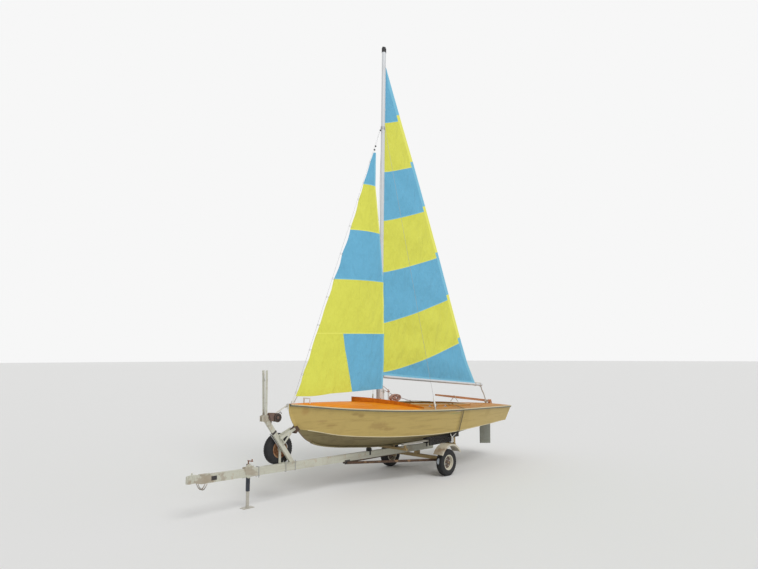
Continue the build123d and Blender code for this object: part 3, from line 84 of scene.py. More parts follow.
Point = tuple[float, float, float]
Colour = tuple[float, float, float]
Section = Sequence[tuple[float, float]]

MAST_RAKE = tan(radians(1.29))
MAST_STEP = 1.196
MAST_HALF = (0.031, 0.037)
HOUNDS = 5.724
STAY_FOOT = (-1.739, 1.268)
STAY_AHEAD = 0.056
BOOM_PLACE = (2.735, 1.3538)
BOOM_SLOPE = -0.0813
LUFF_SLACK = ((1.35, 0.018), (1.60, 0.034), (2.20, 0.032), (3.04, 0.044), (3.85, 0.046), (4.64, 0.014),
              (5.24, 0.008))
HANKS = (1.40, 1.643, 1.98, 2.34, 2.758, 3.042, 3.44, 3.90, 4.367, 4.665, 5.048)
ROPE = 0.0045
WINCH = Vector((0, -2.010, 1.090))
AXLE = (0.921, 0.206)
WHEEL_X = 0.6045
SPARE = (-0.118, -1.876, 0.661)
TYRE_HALF = 0.062
TYRE_RADIUS = 0.2058
NUT_CIRCLE = 0.05


# Node trees


class Graph:
    """A node tree with short calls for adding and joining nodes."""

    def __init__(self, tree: NodeTree) -> None:
        """Keep the tree."""
        self.tree = tree

    def add(self, kind: str, inputs: dict | None = None, **settings) -> Node:
        """Add a node.

        Args:
            kind: Blender's name for the node type.
            inputs: Values or output sockets by input name or number.
            settings: Properties of the node.

        Returns:
            The new node.
        """
        node = self.tree.nodes.new(kind)
        for name, value in settings.items():
            setattr(node, name, value)
        for name, value in (inputs or {}).items():
            socket = node.inputs[name]
            if isinstance(value, NodeSocket):
                self.tree.links.new(value, socket)
            elif isinstance(value, tuple) and socket.type == "RGBA":
                socket.default_value = (*value, 1)
            else:
                socket.default_value = value
        return node

    def out(self, kind: str, inputs: dict | None = None, **settings) -> NodeSocket:
        """First output of a new node."""
        return self.add(kind, inputs, **settings).outputs[0]

    def group(self, tree: NodeTree, **inputs) -> Sequence[NodeSocket]:
        """Outputs of a shared node group fed with values or sockets."""
        return self.add("ShaderNodeGroup", inputs, node_tree=tree).outputs

    def math(self, operation: str, a, b=0.0) -> NodeSocket:
        """Result of one sum on two values or sockets."""
        return self.out("ShaderNodeMath", {0: a, 1: b}, operation=operation)

    def times(self, a, b) -> NodeSocket:
        """Product of two values or sockets."""
        return self.math("MULTIPLY", a, b)

    def noise(self, vector, scale: float, detail: float = 4, rough: float = 0.55) -> NodeSocket:
        """Grey noise at a scale."""
        values = {"Vector": vector, "Scale": scale, "Detail": detail, "Roughness": rough}
        return self.out("ShaderNodeTexNoise", values)

    def stretch(self, vector, scale: Point, turn: Point = (0, 0, 0)) -> NodeSocket:
        """The vector stretched and turned."""
        values = {"Vector": vector, "Scale": scale, "Rotation": turn}
        return self.out("ShaderNodeMapping", values)

    def ramp(self, value, low: float, high: float) -> NodeSocket:
        """Smooth mask that rises from 0 at low to 1 at high."""
        values = {"Value": value, "From Min": low, "From Max": high}
        return self.out("ShaderNodeMapRange", values, interpolation_type="SMOOTHSTEP")

    def mix(self, share, a, b) -> NodeSocket:
        """Colour between a and b."""
        return self.add("ShaderNodeMix", {0: share, 6: a, 7: b}, data_type="RGBA").outputs[2]


SOCKETS = {"Geometry": "Geometry", "Vector": "Vector", "Centre": "Vector", "Size": "Vector",
           "Base": "Color", "Stain": "Color", "Light": "Color", "Dark": "Color", "Color": "Color"}


def new_group(name: str, kind: str, inputs: str, outputs: str) -> tuple[Graph, Sequence, Sequence]:
    """Start a node group with named sockets.

    Args:
        name: Name of the group.
        kind: Blender's name for the tree type.
        inputs: Names of the inputs, parted by spaces; those not in SOCKETS are plain numbers.
        outputs: The same for what the group puts out.

    Returns:
        The graph, the sockets that bring the inputs and the sockets that take the outputs.
    """
    g = Graph(bpy.data.node_groups.new(name, kind))
    for way, labels in (("INPUT", inputs), ("OUTPUT", outputs)):
        for label in labels.split():
            socket = f"NodeSocket{SOCKETS.get(label, 'Float')}"
            g.tree.interface.new_socket(name=label, in_out=way, socket_type=socket)
    return g, g.add("NodeGroupInput").outputs, g.add("NodeGroupOutput").inputs


def shader_group(name: str, inputs: str, outputs: str, body: Callable[[Graph, Sequence], dict]) -> NodeTree:
    """Shader group whose body turns the graph and the inputs into the outputs by name."""
    g, source, sink = new_group(name, "ShaderNodeTree", inputs, outputs)
    for label, socket in body(g, source).items():
        g.tree.links.new(socket, sink[label])
    return g.tree


def soiled(g: Graph, i: Sequence) -> dict:
    """Stains in patches, in streaks that run down and in smears along the hull, over a base colour."""
    patches = g.ramp(g.noise(i["Vector"], 2.2, 8, 0.62), 0.52, 0.72)
    specks = g.ramp(g.noise(i["Vector"], 34, 3), 0.60, 0.74)
    streaks = g.ramp(g.noise(g.stretch(i["Vector"], (9, 9, 1.1)), 3, 5), 0.52, 0.78)
    smears = g.ramp(g.noise(g.stretch(i["Vector"], (3, 0.8, 13)), 2.4, 6, 0.6), 0.47, 0.72)
    mask = g.math("MAXIMUM", g.times(patches, i["Patches"]), g.times(streaks, i["Streaks"]))
    mask = g.math("MAXIMUM", mask, g.times(smears, i["Smears"]))
    mask = g.math("MINIMUM", g.math("ADD", mask, g.times(specks, i["Specks"])), 1.0)
    colour = g.mix(mask, i["Base"], i["Stain"])
    return {"Color": colour, "Mask": mask, "Height": g.noise(i["Vector"], 60, 3)}


def grained(g: Graph, i: Sequence) -> dict:
    """Wood grain along Y, with slow bands and fine pores."""
    bands = g.ramp(g.noise(g.stretch(i["Vector"], (14, 0.9, 14)), 2.4, 5, 0.6), 0.32, 0.70)
    pores = g.noise(g.stretch(i["Vector"], (160, 4, 160)), 3, 2)
    tone = g.math("ADD", g.times(bands, 0.75), g.times(pores, 0.25))
    return {"Color": g.mix(tone, i["Dark"], i["Light"]), "Height": pores}


def woven(g: Graph, i: Sequence) -> dict:
    """Fine crossed threads as a height."""
    values = {"Vector": i["Vector"], "Scale": i["Scale"], "Distortion": 0.3}
    warp, weft = (g.add("ShaderNodeTexWave", values, bands_direction=way).outputs[1] for way in "YZ")
    return {"Height": g.math("ADD", warp, weft)}


def rusted(g: Graph, i: Sequence) -> dict:
    """Rust that breaks through a painted or galvanised skin, with a stained edge round it."""
    blots = g.noise(i["Vector"], 7, 9, 0.7)
    edge = g.math("SUBTRACT", 0.86, g.times(i["Amount"], 0.42))
    mask = g.ramp(blots, edge, g.math("ADD", edge, 0.05))
    halo = g.ramp(blots, g.math("SUBTRACT", edge, 0.10), edge)
    tint = g.mix(g.times(halo, 0.55), i["Base"], (0.42, 0.26, 0.13))
    rust = g.mix(g.noise(i["Vector"], 40, 4), (0.16, 0.065, 0.03), (0.36, 0.16, 0.07))
    return {"Color": g.mix(mask, tint, rust), "Mask": mask}


def zoned(g: Graph, i: Sequence) -> dict:
    """Mask of a soft ellipsoid whose edge is broken by noise."""
    away = g.out("ShaderNodeVectorMath", {0: i["Vector"], 1: i["Centre"]}, operation="SUBTRACT")
    share = g.out("ShaderNodeVectorMath", {0: away, 1: i["Size"]}, operation="DIVIDE")
    reach = g.add("ShaderNodeVectorMath", {0: share}, operation="LENGTH").outputs["Value"]
    ragged = g.times(g.math("SUBTRACT", g.noise(i["Vector"], 11, 7, 0.66), 0.5), i["Ragged"])
    low, high = g.math("SUBTRACT", 1.0, i["Edge"]), g.math("ADD", 1.0, i["Edge"])
    return {"Mask": g.math("SUBTRACT", 1.0, g.ramp(g.math("ADD", reach, ragged), low, high))}


def shared_groups() -> dict[str, NodeTree]:
    """Shader node groups that several finishes share, by name."""
    recipes = (("soil", "Vector Base Stain Patches Streaks Specks Smears", "Color Mask Height", soiled),
               ("grain", "Vector Light Dark", "Color Height", grained),
               ("weave", "Vector Scale", "Height", woven),
               ("rust", "Vector Base Amount", "Color Mask", rusted),
               ("zone", "Vector Centre Size Edge Ragged", "Mask", zoned))
    return {recipe[0]: shader_group(*recipe) for recipe in recipes}


# Finishes


class Base(Enum):
    """What a finish starts from."""

    FLAT = "one colour"
    WOOD = "grain under varnish"
    CLOTH = "woven threads"


@dataclass(frozen=True)
class Zone:
    """Place on an object where a finish has another colour: a soft ellipsoid with a ragged edge."""

    colour: Colour
    centre: Point
    size: Point
    edge: float
    ragged: float
    strength: float


@dataclass(frozen=True)
class Finish:
    """One surface finish.

    The stain colour goes in patches, streaks, specks and smears, each from 0 to 1, and rust likewise.
    """

    name: str
    colour: Colour
    rough: float = 0.5
    stain: Colour = (0.25, 0.18, 0.10)
    patches: float = 0.0
    streaks: float = 0.0
    specks: float = 0.0
    smears: float = 0.0
    rust: float = 0.0
    metal: float = 0.0
    base: Base = Base.FLAT
    dark: Colour = (0.2, 0.1, 0.05)
    coat: float = 0.0
    shine: float = 0.5
    sheen: float = 0.0
    weave: float = 900.0
    bump: float = 0.15
    grit: float = 0.0008
    creases: float = 0.0
    zones: tuple[Zone, ...] = ()

    def build(self, groups: dict[str, NodeTree]) -> Material:
        """Make the material.

        Args:
            groups: The shared shader groups.

        Returns:
            The new material.
        """
        material = bpy.data.materials.new(self.name)
        material.use_nodes = True
        material.node_tree.nodes.clear()
        g = Graph(material.node_tree)
        where = g.add("ShaderNodeTexCoord").outputs["Object"]
        colour, height, metal = self.colour, None, self.metal
        if self.base is Base.WOOD:
            wood = g.group(groups["grain"], Vector=where, Light=self.colour, Dark=self.dark)
            colour, height = wood["Color"], wood["Height"]
        elif self.base is Base.CLOTH:
            height = g.group(groups["weave"], Vector=where, Scale=self.weave)["Height"]
        soil = g.group(groups["soil"], Vector=where, Base=colour, Stain=self.stain, Patches=self.patches,
                       Streaks=self.streaks, Specks=self.specks, Smears=self.smears)
        colour, height = soil["Color"], height or soil["Height"]
        rough = g.math("MINIMUM", g.math("ADD", self.rough, g.times(soil["Mask"], 0.25)), 1.0)
        if self.rust:
            rust = g.group(groups["rust"], Vector=where, Base=colour, Amount=self.rust)
            colour, height = rust["Color"], g.math("ADD", height, rust["Mask"])
            rough = g.math("MAXIMUM", rough, g.times(rust["Mask"], 0.85))
            if self.metal:
                metal = g.times(g.math("SUBTRACT", 1.0, rust["Mask"]), self.metal)
        for zone in self.zones:
            spot = g.group(groups["zone"], Vector=where, Centre=zone.centre, Size=zone.size, Edge=zone.edge,
                           Ragged=zone.ragged)
            colour = g.mix(g.times(spot["Mask"], zone.strength), colour, zone.colour)
        bump = {"Strength": self.bump, "Distance": self.grit, "Height": height}
        normal = g.out("ShaderNodeBump", bump)
        if self.creases:
            folds = g.noise(g.stretch(where, (1, 1, 0.42), (0.5, 0, 0)), 4.5, 5, 0.55)
            bump = {"Strength": self.creases, "Distance": 0.12, "Height": folds, "Normal": normal}
            normal = g.out("ShaderNodeBump", bump)
        shader = g.add("ShaderNodeBsdfPrincipled", {
            "Base Color": colour, "Roughness": rough, "Metallic": metal, "Normal": normal,
            "Coat Weight": self.coat, "Coat Roughness": 0.12, "Specular IOR Level": self.shine,
            "Sheen Weight": self.sheen})
        g.tree.links.new(shader.outputs[0], g.add("ShaderNodeOutputMaterial").inputs[0])
        return material


def wood(name: str, light: Colour, dark: Colour, **more) -> Finish:
    """Varnished wood with the two tones of its grain."""
    return Finish(name, light, base=Base.WOOD, dark=dark, **more)


def cloth(name: str, colour: Colour, stain: Colour | None = None, **more) -> Finish:
    """Sailcloth, webbing, rope or carpet, clean or with stained patches."""
    marks = {"stain": stain, "patches": 0.5} if stain else {}
    return Finish(name, colour, base=Base.CLOTH, **{"rough": 0.85, "bump": 0.5, **marks, **more})


RUST = (0.26, 0.17, 0.10)
HULL_SPOTS = (
    Zone((0.42, 0.25, 0.07), (0.09, -1.581, 1.143), (0.05, 0.05, 0.05), 0.6, 1.6, 0.6),
    Zone((0.40, 0.26, 0.09), (0.160, -1.35, 1.00), (0.05, 0.10, 0.016), 0.6, 2.2, 0.6),
    Zone((0.36, 0.23, 0.07), (0.195, -1.22, 0.93), (0.05, 0.10, 0.014), 0.6, 2.2, 0.6),
    Zone((0.36, 0.24, 0.07), (0.374, -0.891, 1.078), (0.06, 0.07, 0.018), 0.5, 1.6, 0.75),
    Zone((0.36, 0.24, 0.07), (0.40, -0.80, 1.050), (0.06, 0.04, 0.032), 0.5, 1.6, 0.75),
    Zone((0.38, 0.25, 0.08), (0.442, -0.50, 0.880), (0.08, 0.15, 0.055), 0.6, 2.6, 0.62),
    Zone((0.36, 0.23, 0.07), (0.455, -0.32, 0.825), (0.08, 0.12, 0.022), 0.6, 2.6, 0.6),
    Zone((0.62, 0.44, 0.36), (0.69, 1.162, 1.0), (0.10, 0.08, 0.012), 0.4, 0.9, 0.6),
    Zone((0.24, 0.32, 0.14), (0.69, 1.092, 0.968), (0.10, 0.15, 0.010), 0.4, 1.0, 0.5),
)
TRAILER_RUST = tuple(
    Zone(RUST, (0, y, z), (0.2, *size), 0.3, 6.0, strength)
    for y, z, size, strength in ((-3.03, 0.46, (0.18, 0.06), 0.5), (-2.42, 0.47, (0.09, 0.08), 0.45),
                                 (-2.20, 1.09, (0.08, 0.08), 0.45)))
GUARD_RUST = tuple(
    Zone(RUST, (side * 0.60, y, z), size, 0.5, 3.5, 0.6)
    for side in (-1, 1)
    for y, z, size in ((0.70, 0.35, (0.12, 0.10, 0.10)), (0.76, 0.42, (0.12, 0.06, 0.04))))
RIM_DISH = (Zone((0.085, 0.045, 0.03), (WHEEL_X, *AXLE), (9.0, 0.094, 0.094), 0.05, 0.12, 0.92),)
CRANK_RUST = (Zone((0.27, 0.13, 0.08), (0, -2.381, 0.60), (0.3, 0.3, 0.066), 0.05, 0.4, 1.0),)
# Painted highlight: a pale bluish glint of the sky on the fore side of the port tyre's tread.
TYRE_PAINTED_GLINT = (Zone((0.55, 0.60, 0.66), (0.592, 0.725, 0.243), (0.026, 0.05, 0.045), 0.2, 0.6, 0.9),)
STEM_BOTTOM = (Zone((0.17, 0.125, 0.065), (0, -1.2, -0.07), (9.0, 9.0, 1.0), 0.004, 0.012, 1.0),)
OCHRE, OCHRE_STAIN = (0.53, 0.39, 0.125), (0.34, 0.23, 0.07)
SEAM = {"rough": 0.7, "weave": 700, "bump": 0.15}
SAIL = {**SEAM, "bump": 0.1, "patches": 0.25, "creases": 0.7}
FINISHES = (
    Finish("topside_paint", OCHRE, 0.45, OCHRE_STAIN, 0.4, 0.15, 0.2, 0.45, zones=HULL_SPOTS),
    Finish("stem_paint", OCHRE, 0.45, OCHRE_STAIN, 0.4, specks=0.2, smears=0.4, zones=STEM_BOTTOM),
    # Painted highlight laid along the edges of rails, chines and coaming, smeared with stains.
    Finish("painted_edge_highlight", (0.66, 0.58, 0.36), 0.5, (0.36, 0.26, 0.12), 0.45, smears=0.35),
    Finish("bottom_paint", (0.21, 0.17, 0.075), 0.6, (0.09, 0.06, 0.025), 0.5, specks=0.4, smears=0.5),
    wood("deck_varnish", (0.87, 0.33, 0.012), (0.72, 0.19, 0.006), shine=0.08, specks=0.1),
    wood("side_varnish", (0.58, 0.28, 0.055), (0.41, 0.165, 0.026), shine=0.1, specks=0.15),
    wood("splash_varnish", (0.62, 0.185, 0.006), (0.40, 0.10, 0.004), shine=0.1),
    wood("dark_varnish", (0.42, 0.11, 0.025), (0.16, 0.04, 0.012), rough=0.3, coat=0.5),
    wood("tiller_varnish", (0.58, 0.25, 0.085), (0.38, 0.14, 0.045), rough=0.45, coat=0.1),
    wood("inside_varnish", (0.34, 0.17, 0.07), (0.14, 0.06, 0.02), specks=0.3),
    Finish("rail_plastic", (0.115, 0.125, 0.105), 0.5, (0.22, 0.20, 0.14), 0.4, specks=0.3, smears=0.4),
    Finish("spar_alloy", (0.66, 0.68, 0.70), 0.38, (0.38, 0.38, 0.37), 0.25, 0.25, 0.15, metal=0.25),
    Finish("white_metal", (0.78, 0.78, 0.76), 0.45, (0.40, 0.36, 0.28), 0.3, specks=0.3, rust=0.15),
    Finish("black_cap", (0.016, 0.016, 0.018), 0.5, (0.08, 0.075, 0.07), 0.3),
    Finish("steel_fitting", (0.45, 0.45, 0.45), 0.4, metal=0.8, rust=0.25),
    Finish("stay_wire", (0.42, 0.43, 0.44), 0.35, metal=0.9),
    Finish("rudder_paint", (0.23, 0.24, 0.20), 0.55, (0.16, 0.14, 0.09), 0.5, 0.4, smears=0.3),
    Finish("trailer_paint", (0.56, 0.56, 0.47), 0.5, (0.32, 0.25, 0.17), 0.42, 0.30, 0.4, 0.3, 0.46,
           zones=TRAILER_RUST),
    # Axle and braces: rust over paint that is darkened as painted shade for their place under the hull.
    Finish("axle_paint", (0.36, 0.26, 0.12), 0.6, (0.16, 0.10, 0.05), 0.6, specks=0.4, rust=0.55),
    Finish("brace_paint", (0.075, 0.040, 0.024), 0.65, (0.18, 0.09, 0.04), 0.5, specks=0.4, rust=0.6),
    Finish("winch_paint", (0.15, 0.095, 0.075), 0.6, (0.12, 0.07, 0.045), 0.5, specks=0.4, rust=0.55),
    Finish("winch_dark", (0.028, 0.020, 0.016), 0.6, (0.12, 0.06, 0.03), 0.5, rust=0.3),
    Finish("jack_paint", (0.028, 0.034, 0.048), 0.5, (0.10, 0.07, 0.045), 0.4, specks=0.3, rust=0.35,
           zones=CRANK_RUST),
    Finish("bare_steel", (0.50, 0.48, 0.42), 0.5, (0.28, 0.22, 0.15), 0.5, specks=0.3, rust=0.4, metal=0.4),
    cloth("bunk_cover", (0.028, 0.025, 0.024), rough=0.95, weave=420, grit=0.002, sheen=0.3),
    Finish("roller_rubber", (0.035, 0.033, 0.03), 0.75, (0.12, 0.10, 0.08), 0.5),
    cloth("webbing", (0.66, 0.63, 0.54), (0.34, 0.29, 0.2), weave=600, grit=0.001),
    cloth("khaki_webbing", (0.20, 0.165, 0.075), (0.09, 0.07, 0.035), weave=600, grit=0.001),
    # Dark brown strap cloth, also laid on as the painted shadow along the tie strap's edges.
    cloth("dark_strap_and_edge_shadow", (0.055, 0.033, 0.022), weave=600, grit=0.001),
    # Black rubber with dirt specks, and a painted highlight on the port tyre's tread.
    Finish("tyre", (0.020, 0.020, 0.021), 0.82, (0.09, 0.075, 0.06), 0.45, specks=0.4, grit=0.0015,
           zones=TYRE_PAINTED_GLINT),
    Finish("rim_paint", (0.70, 0.66, 0.54), 0.5, (0.27, 0.20, 0.12), 0.5, 0.3, 0.4, rust=0.4,
           zones=RIM_DISH),
    Finish("guard_paint", (0.55, 0.51, 0.41), 0.5, (0.27, 0.19, 0.12), 0.6, 0.3, 0.6, rust=0.42,
           zones=GUARD_RUST),
    Finish("spare_rim_rust", (0.40, 0.20, 0.10), 0.7, (0.20, 0.09, 0.04), 0.6, specks=0.5, rust=0.8),
    cloth("sail_blue", (0.140, 0.45, 0.67), (0.12, 0.38, 0.57), **SAIL),
    cloth("sail_yellow", (0.73, 0.74, 0.09), (0.66, 0.64, 0.08), **SAIL),
    cloth("seam_blue", (0.20, 0.54, 0.74), **SEAM),
    cloth("seam_yellow", (0.84, 0.84, 0.14), **SEAM),
    cloth("rope_white", (0.62, 0.59, 0.50), (0.3, 0.26, 0.19), weave=260, bump=0.6, grit=0.002),
    cloth("rope_pink", (0.50, 0.31, 0.25), (0.22, 0.12, 0.08), weave=260, bump=0.6, grit=0.002),
    Finish("white_plastic", (0.80, 0.80, 0.76), 0.45, (0.4, 0.38, 0.3), 0.2),
    Finish("black_plastic", (0.03, 0.03, 0.032), 0.45),
    Finish("label_dark", (0.035, 0.03, 0.03), 0.4, (0.2, 0.16, 0.1), 0.4),
    Finish("chain_steel", (0.30, 0.27, 0.23), 0.55, metal=0.6, rust=0.7),
)
NODE_FINISH = {
    "stem": "stem_paint", "splash_board": "splash_varnish", "tiller": "tiller_varnish",
    "aft_deck": "side_varnish", "side_decks": "side_varnish", "coaming": "side_varnish",
    # The bow stop takes the braces' near-black colour, partly rust and partly painted shade.
    "mast_step": "white_metal", "bow_fittings": "white_plastic", "bow_stop": "brace_paint",
    "rudder_head": "tiller_varnish", "mudguards": "guard_paint",
}


# Meshes


def axes(axis: Point) -> tuple[Vector, Vector, Vector]:
    """An axis and two directions square to it."""
    along = Vector(axis).normalized()
    side = along.orthogonal().normalized()
    return along, side, along.cross(side)


def oval(middle: Point, first: Point, second: Point, count: int, sweep: float = FULL) -> list[Vector]:
    """Points round an oval with two half-axes, both ends of the sweep counted."""
    middle, first, second = Vector(middle), Vector(first), Vector(second)
    return [middle + first * cos(a) + second * sin(a) for a in np.linspace(0, sweep, count)]


def headings(path: Sequence[Vector]) -> list[tuple[Vector, Vector]]:
    """Each point of a path with the path's direction there."""
    ends = [path[0], *path, path[-1]]
    return [(point, (after - before).normalized()) for before, point, after in zip(ends, path, ends[2:])]


def mirror(points: Iterable[Point]) -> list[Point]:
    """The same points on the other side of the boat."""
    return [(-p[0], p[1], p[2]) for p in points]


def add_object(name: str, data: ID | None) -> Object:
    """New object in the scene."""
    made = bpy.data.objects.new(name, data)
    bpy.context.scene.collection.objects.link(made)
    return made


class Shape:
    """Collects vertices and faces and turns them into one finished object."""

    palette: dict[str, Material] = {}

    def __init__(self, name: str) -> None:
        """Start an empty shape."""
        self.name = name
        self.mesh = bmesh.new()
        self.paints: list[str] = []

    def paint(self, paint: str) -> int:
        """Slot number of a finish, added when it is new."""
        if paint not in self.paints:
            self.paints.append(paint)
        return self.paints.index(paint)

    def grid(self, rows: Sequence[Sequence[Point]], paint: str, closed: bool = True,
             ring: bool = False) -> None:
        """Skin of quads over rows of points.

        Args:
            rows: Rows with the same number of points.
            paint: Finish of the skin.
            closed: Joins each row's last point to its first.
            ring: Joins the last row to the first, or else closes both with a face.
        """
        slot = self.paint(paint)
        made = [[self.mesh.verts.new(p) for p in row] for row in rows]
        count = len(made[0])
        for low, high in zip(made, made[1:] + made[:1] if ring else made[1:]):
            for k in range(count if closed else count - 1):
                n = (k + 1) % count
                self.mesh.faces.new((low[k], low[n], high[n], high[k])).material_index = slot
        if not ring:
            for row in (made[0], made[-1]):
                self.mesh.faces.new(row).material_index = slot

    def tube(self, path: Sequence[Point], radius: float | Sequence[float], paint: str,
             sides: int = 8) -> None:
        """Round bar with closed ends along a path, with one radius or one for each point."""
        points = [Vector(p) for p in path]
        radii = [radius] * len(points) if isinstance(radius, float) else radius
        rows, side = [], headings(points)[0][1].orthogonal()
        for (point, ahead), reach in zip(headings(points), radii):
            side = (side - ahead * side.dot(ahead)).normalized()
            rows.append(oval(point, side * reach, ahead.cross(side) * reach, sides + 1)[:-1])
        self.grid(rows, paint)

    def lathe(self, profile: Section, centre: Point, axis: Point, paint: str, steps: int) -> None:
        """Turned form from pairs of distance along the axis and radius, in a number of steps round."""
        along, side, other = axes(axis)
        outs = oval((0, 0, 0), side, other, steps + 1)[:-1]
        rows = [[Vector(centre) + along * s + out * r for s, r in profile] for out in outs]
        self.grid(rows, paint, closed=False, ring=True)

    def bolt(self, spot: Point, side: int, radius: float) -> None:
        """Domed bolt head that faces port or starboard."""
        dome = [(0, 0), (0, radius), (0.004, radius - 0.001), (0.006, 0)]
        self.lathe(dome, spot, (side, 0, 0), STEEL, 12)

    def slab(self, low: Point, high: Point, paint: str, edge: float, turn: Matrix | None = None) -> None:
        """Rectangular piece with eased edges.

        Args:
            low: Lowest corner before turning.
            high: Highest corner before turning.
            paint: Finish.
            edge: Width of the eased edge.
            turn: Placing applied to it.
        """
        slot = self.paint(paint)
        low, high = Vector(low), Vector(high)
        form = Matrix.LocRotScale((high + low) / 2, None, high - low)
        made = bmesh.ops.create_cube(self.mesh, size=1, matrix=form)["verts"]
        faces = {f for v in made for f in v.link_faces}
        edges = {e for v in made for e in v.link_edges}
        cut = bmesh.ops.bevel(self.mesh, geom=list(edges), offset=edge, segments=2, affect="EDGES",
                              profile=0.5)
        faces = set(cut["faces"]) | {f for f in faces if f.is_valid}
        for face in faces:
            face.material_index = slot
        if turn:
            for v in {v for f in faces for v in f.verts}:
                v.co = turn @ v.co

    def finish(self, body: str, slot: str, crease: float = 35.0, wall: float = 0.0) -> Object:
        """Make the object and hang it on its body.

        Args:
            body: Body it rides on.
            slot: Material slot of the record, passed on but not used.
            crease: Angle in degrees past which an edge stays sharp.
            wall: Thickness given to an open skin.

        Returns:
            The finished object.
        """
        bmesh.ops.remove_doubles(self.mesh, verts=self.mesh.verts, dist=1e-5)
        bmesh.ops.recalc_face_normals(self.mesh, faces=self.mesh.faces)
        if wall:
            thicken(self.mesh, wall)
        data = bpy.data.meshes.new(self.name)
        self.mesh.to_mesh(data)
        self.mesh.free()
        for paint in self.paints:
            data.materials.append(self.palette[paint])
        return place(data, body, slot, crease)


def thicken(mesh: bmesh.types.BMesh, wall: float) -> None:
    """Turn an open skin into a closed sheet, half of the wall to each side."""
    mesh.normal_update()
    verts, faces = list(mesh.verts), list(mesh.faces)
    rims = [(e.link_loops[0], e.link_faces[0].material_index) for e in mesh.edges if e.is_boundary]
    ends = [(loop.vert, loop.link_loop_next.vert, slot) for loop, slot in rims]
    shift = {v: v.normal * wall / 2 for v in verts}
    back = {v: mesh.verts.new(v.co - shift[v]) for v in verts}
    for v in verts:
        v.co = v.co + shift[v]
    for face in faces:
        made = mesh.faces.new([back[v] for v in reversed(face.verts)])
        made.material_index = face.material_index
    for a, b, slot in ends:
        mesh.faces.new((b, a, back[a], back[b])).material_index = slot


def place(data: Mesh, body: str, slot: str, crease: float) -> Object:
    """Make a mesh an object, shade it and hang it on its body.

    Args:
        data: Mesh with the object's name.
        body: Body it rides on, empty for a piece that runs between two and hangs on neither.
        slot: Material slot of the record; not used.
        crease: Angle in degrees past which an edge stays sharp.

    Returns:
        The object.
    """
    piece = add_object(data.name, data)
    data.shade_smooth()
    data.set_sharp_from_angle(angle=radians(crease))
    if body:
        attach(piece, body)
    LOG.info("%s: %d faces on %s", piece.name, len(data.polygons), body or "two bodies")
    return piece


@dataclass
class Repeat:
    """Geometry Nodes array of one small piece, a bolt head or a chain link, at a list of places."""

    name: str
    size: Point
    link: bool = False

    def tree(self, material: Material) -> NodeTree:
        """Node tree with named inputs Reach, Width and Thickness, and the finish set in it."""
        inputs = "Geometry Reach Width Thickness"
        g, source, sink = new_group(f"{self.name} nodes", "GeometryNodeTree", inputs, "Geometry")
        reach, width, thickness = (source[label] for label in ("Reach", "Width", "Thickness"))
        if self.link:
            path, wire = (g.out("GeometryNodeCurvePrimitiveCircle", {"Resolution": sides, "Radius": radius},
                                mode="RADIUS") for sides, radius in ((14, 1.0), (6, thickness)))
            scale = g.out("ShaderNodeCombineXYZ", {0: reach, 1: width, 2: 1.0})
            path = g.out("GeometryNodeTransform", {"Geometry": path, "Scale": scale})
            small = g.out("GeometryNodeCurveToMesh", {"Curve": path, "Profile Curve": wire})
        else:
            small = g.out("GeometryNodeMeshCylinder", {"Vertices": 6, "Radius": reach, "Depth": thickness})
        turn = g.out("GeometryNodeInputNamedAttribute", {"Name": "turn"}, data_type="FLOAT_VECTOR")
        spin = g.out("FunctionNodeEulerToRotation", {0: turn})
        places = {"Points": source["Geometry"], "Instance": small, "Rotation": spin}
        real = g.out("GeometryNodeRealizeInstances", {0: g.out("GeometryNodeInstanceOnPoints", places)})
        done = g.out("GeometryNodeSetMaterial", {"Geometry": real, "Material": material})
        g.tree.links.new(done, sink[0])
        return g.tree

    def build(self, places: Sequence[tuple[Point, Point]], paint: str, slot: str) -> None:
        """Make the array as one plain mesh on the root.

        Args:
            places: Pairs of a point and its turn as Euler angles.
            paint: Finish.
            slot: Material slot of the record, passed on but not used.
        """
        points = bpy.data.meshes.new(f"{self.name} places")
        points.from_pydata([p for p, _ in places], [], [])
        turn = points.attributes.new("turn", "FLOAT_VECTOR", "POINT")
        turn.data.foreach_set("vector", [c for _, t in places for c in t])
        holder = add_object(f"{self.name} holder", points)
        modifier = holder.modifiers.new("array", "NODES")
        modifier.node_group = self.tree(Shape.palette[paint])
        sockets = [s for s in modifier.node_group.interface.items_tree if s.in_out == "INPUT"]
        for socket, value in zip(sockets[1:], self.size):
            modifier[socket.identifier] = value
        holder.update_tag()
        graph = bpy.context.evaluated_depsgraph_get()
        data = bpy.data.meshes.new_from_object(holder.evaluated_get(graph))
        bpy.data.objects.remove(holder)
        data.name = self.name
        place(data, "root", slot, 30)


# Set


@dataclass(frozen=True)
class PhotoCamera:
    """The photograph's own camera."""

    focal_px: float = 569.005
    width_px: float = 758
    azimuth: float = 0.7512
    pitch: float = 0.1271
    roll: float = -0.0022
    place: Point = (6.2471, -6.6955, 1.8773)

    def build(self) -> None:
        """Create the camera and make it the scene's own."""
        a, p = self.azimuth, self.pitch
        ahead = Vector((-sin(a) * cos(p), cos(a) * cos(p), sin(p)))
        right = Vector((cos(a), sin(a), 0))
        up = right.cross(ahead)
        across = right * cos(self.roll) + up * sin(self.roll)
        above = up * cos(self.roll) - right * sin(self.roll)
        data = bpy.data.cameras.new("camera")
        data.sensor_width = 36
        data.lens = self.focal_px / self.width_px * data.sensor_width
        data.clip_end = 500
        camera = add_object("camera", data)
        turn = Matrix((across, above, -ahead)).transposed().to_4x4()
        camera.matrix_world = Matrix.Translation(self.place) @ turn
        bpy.context.scene.camera = camera


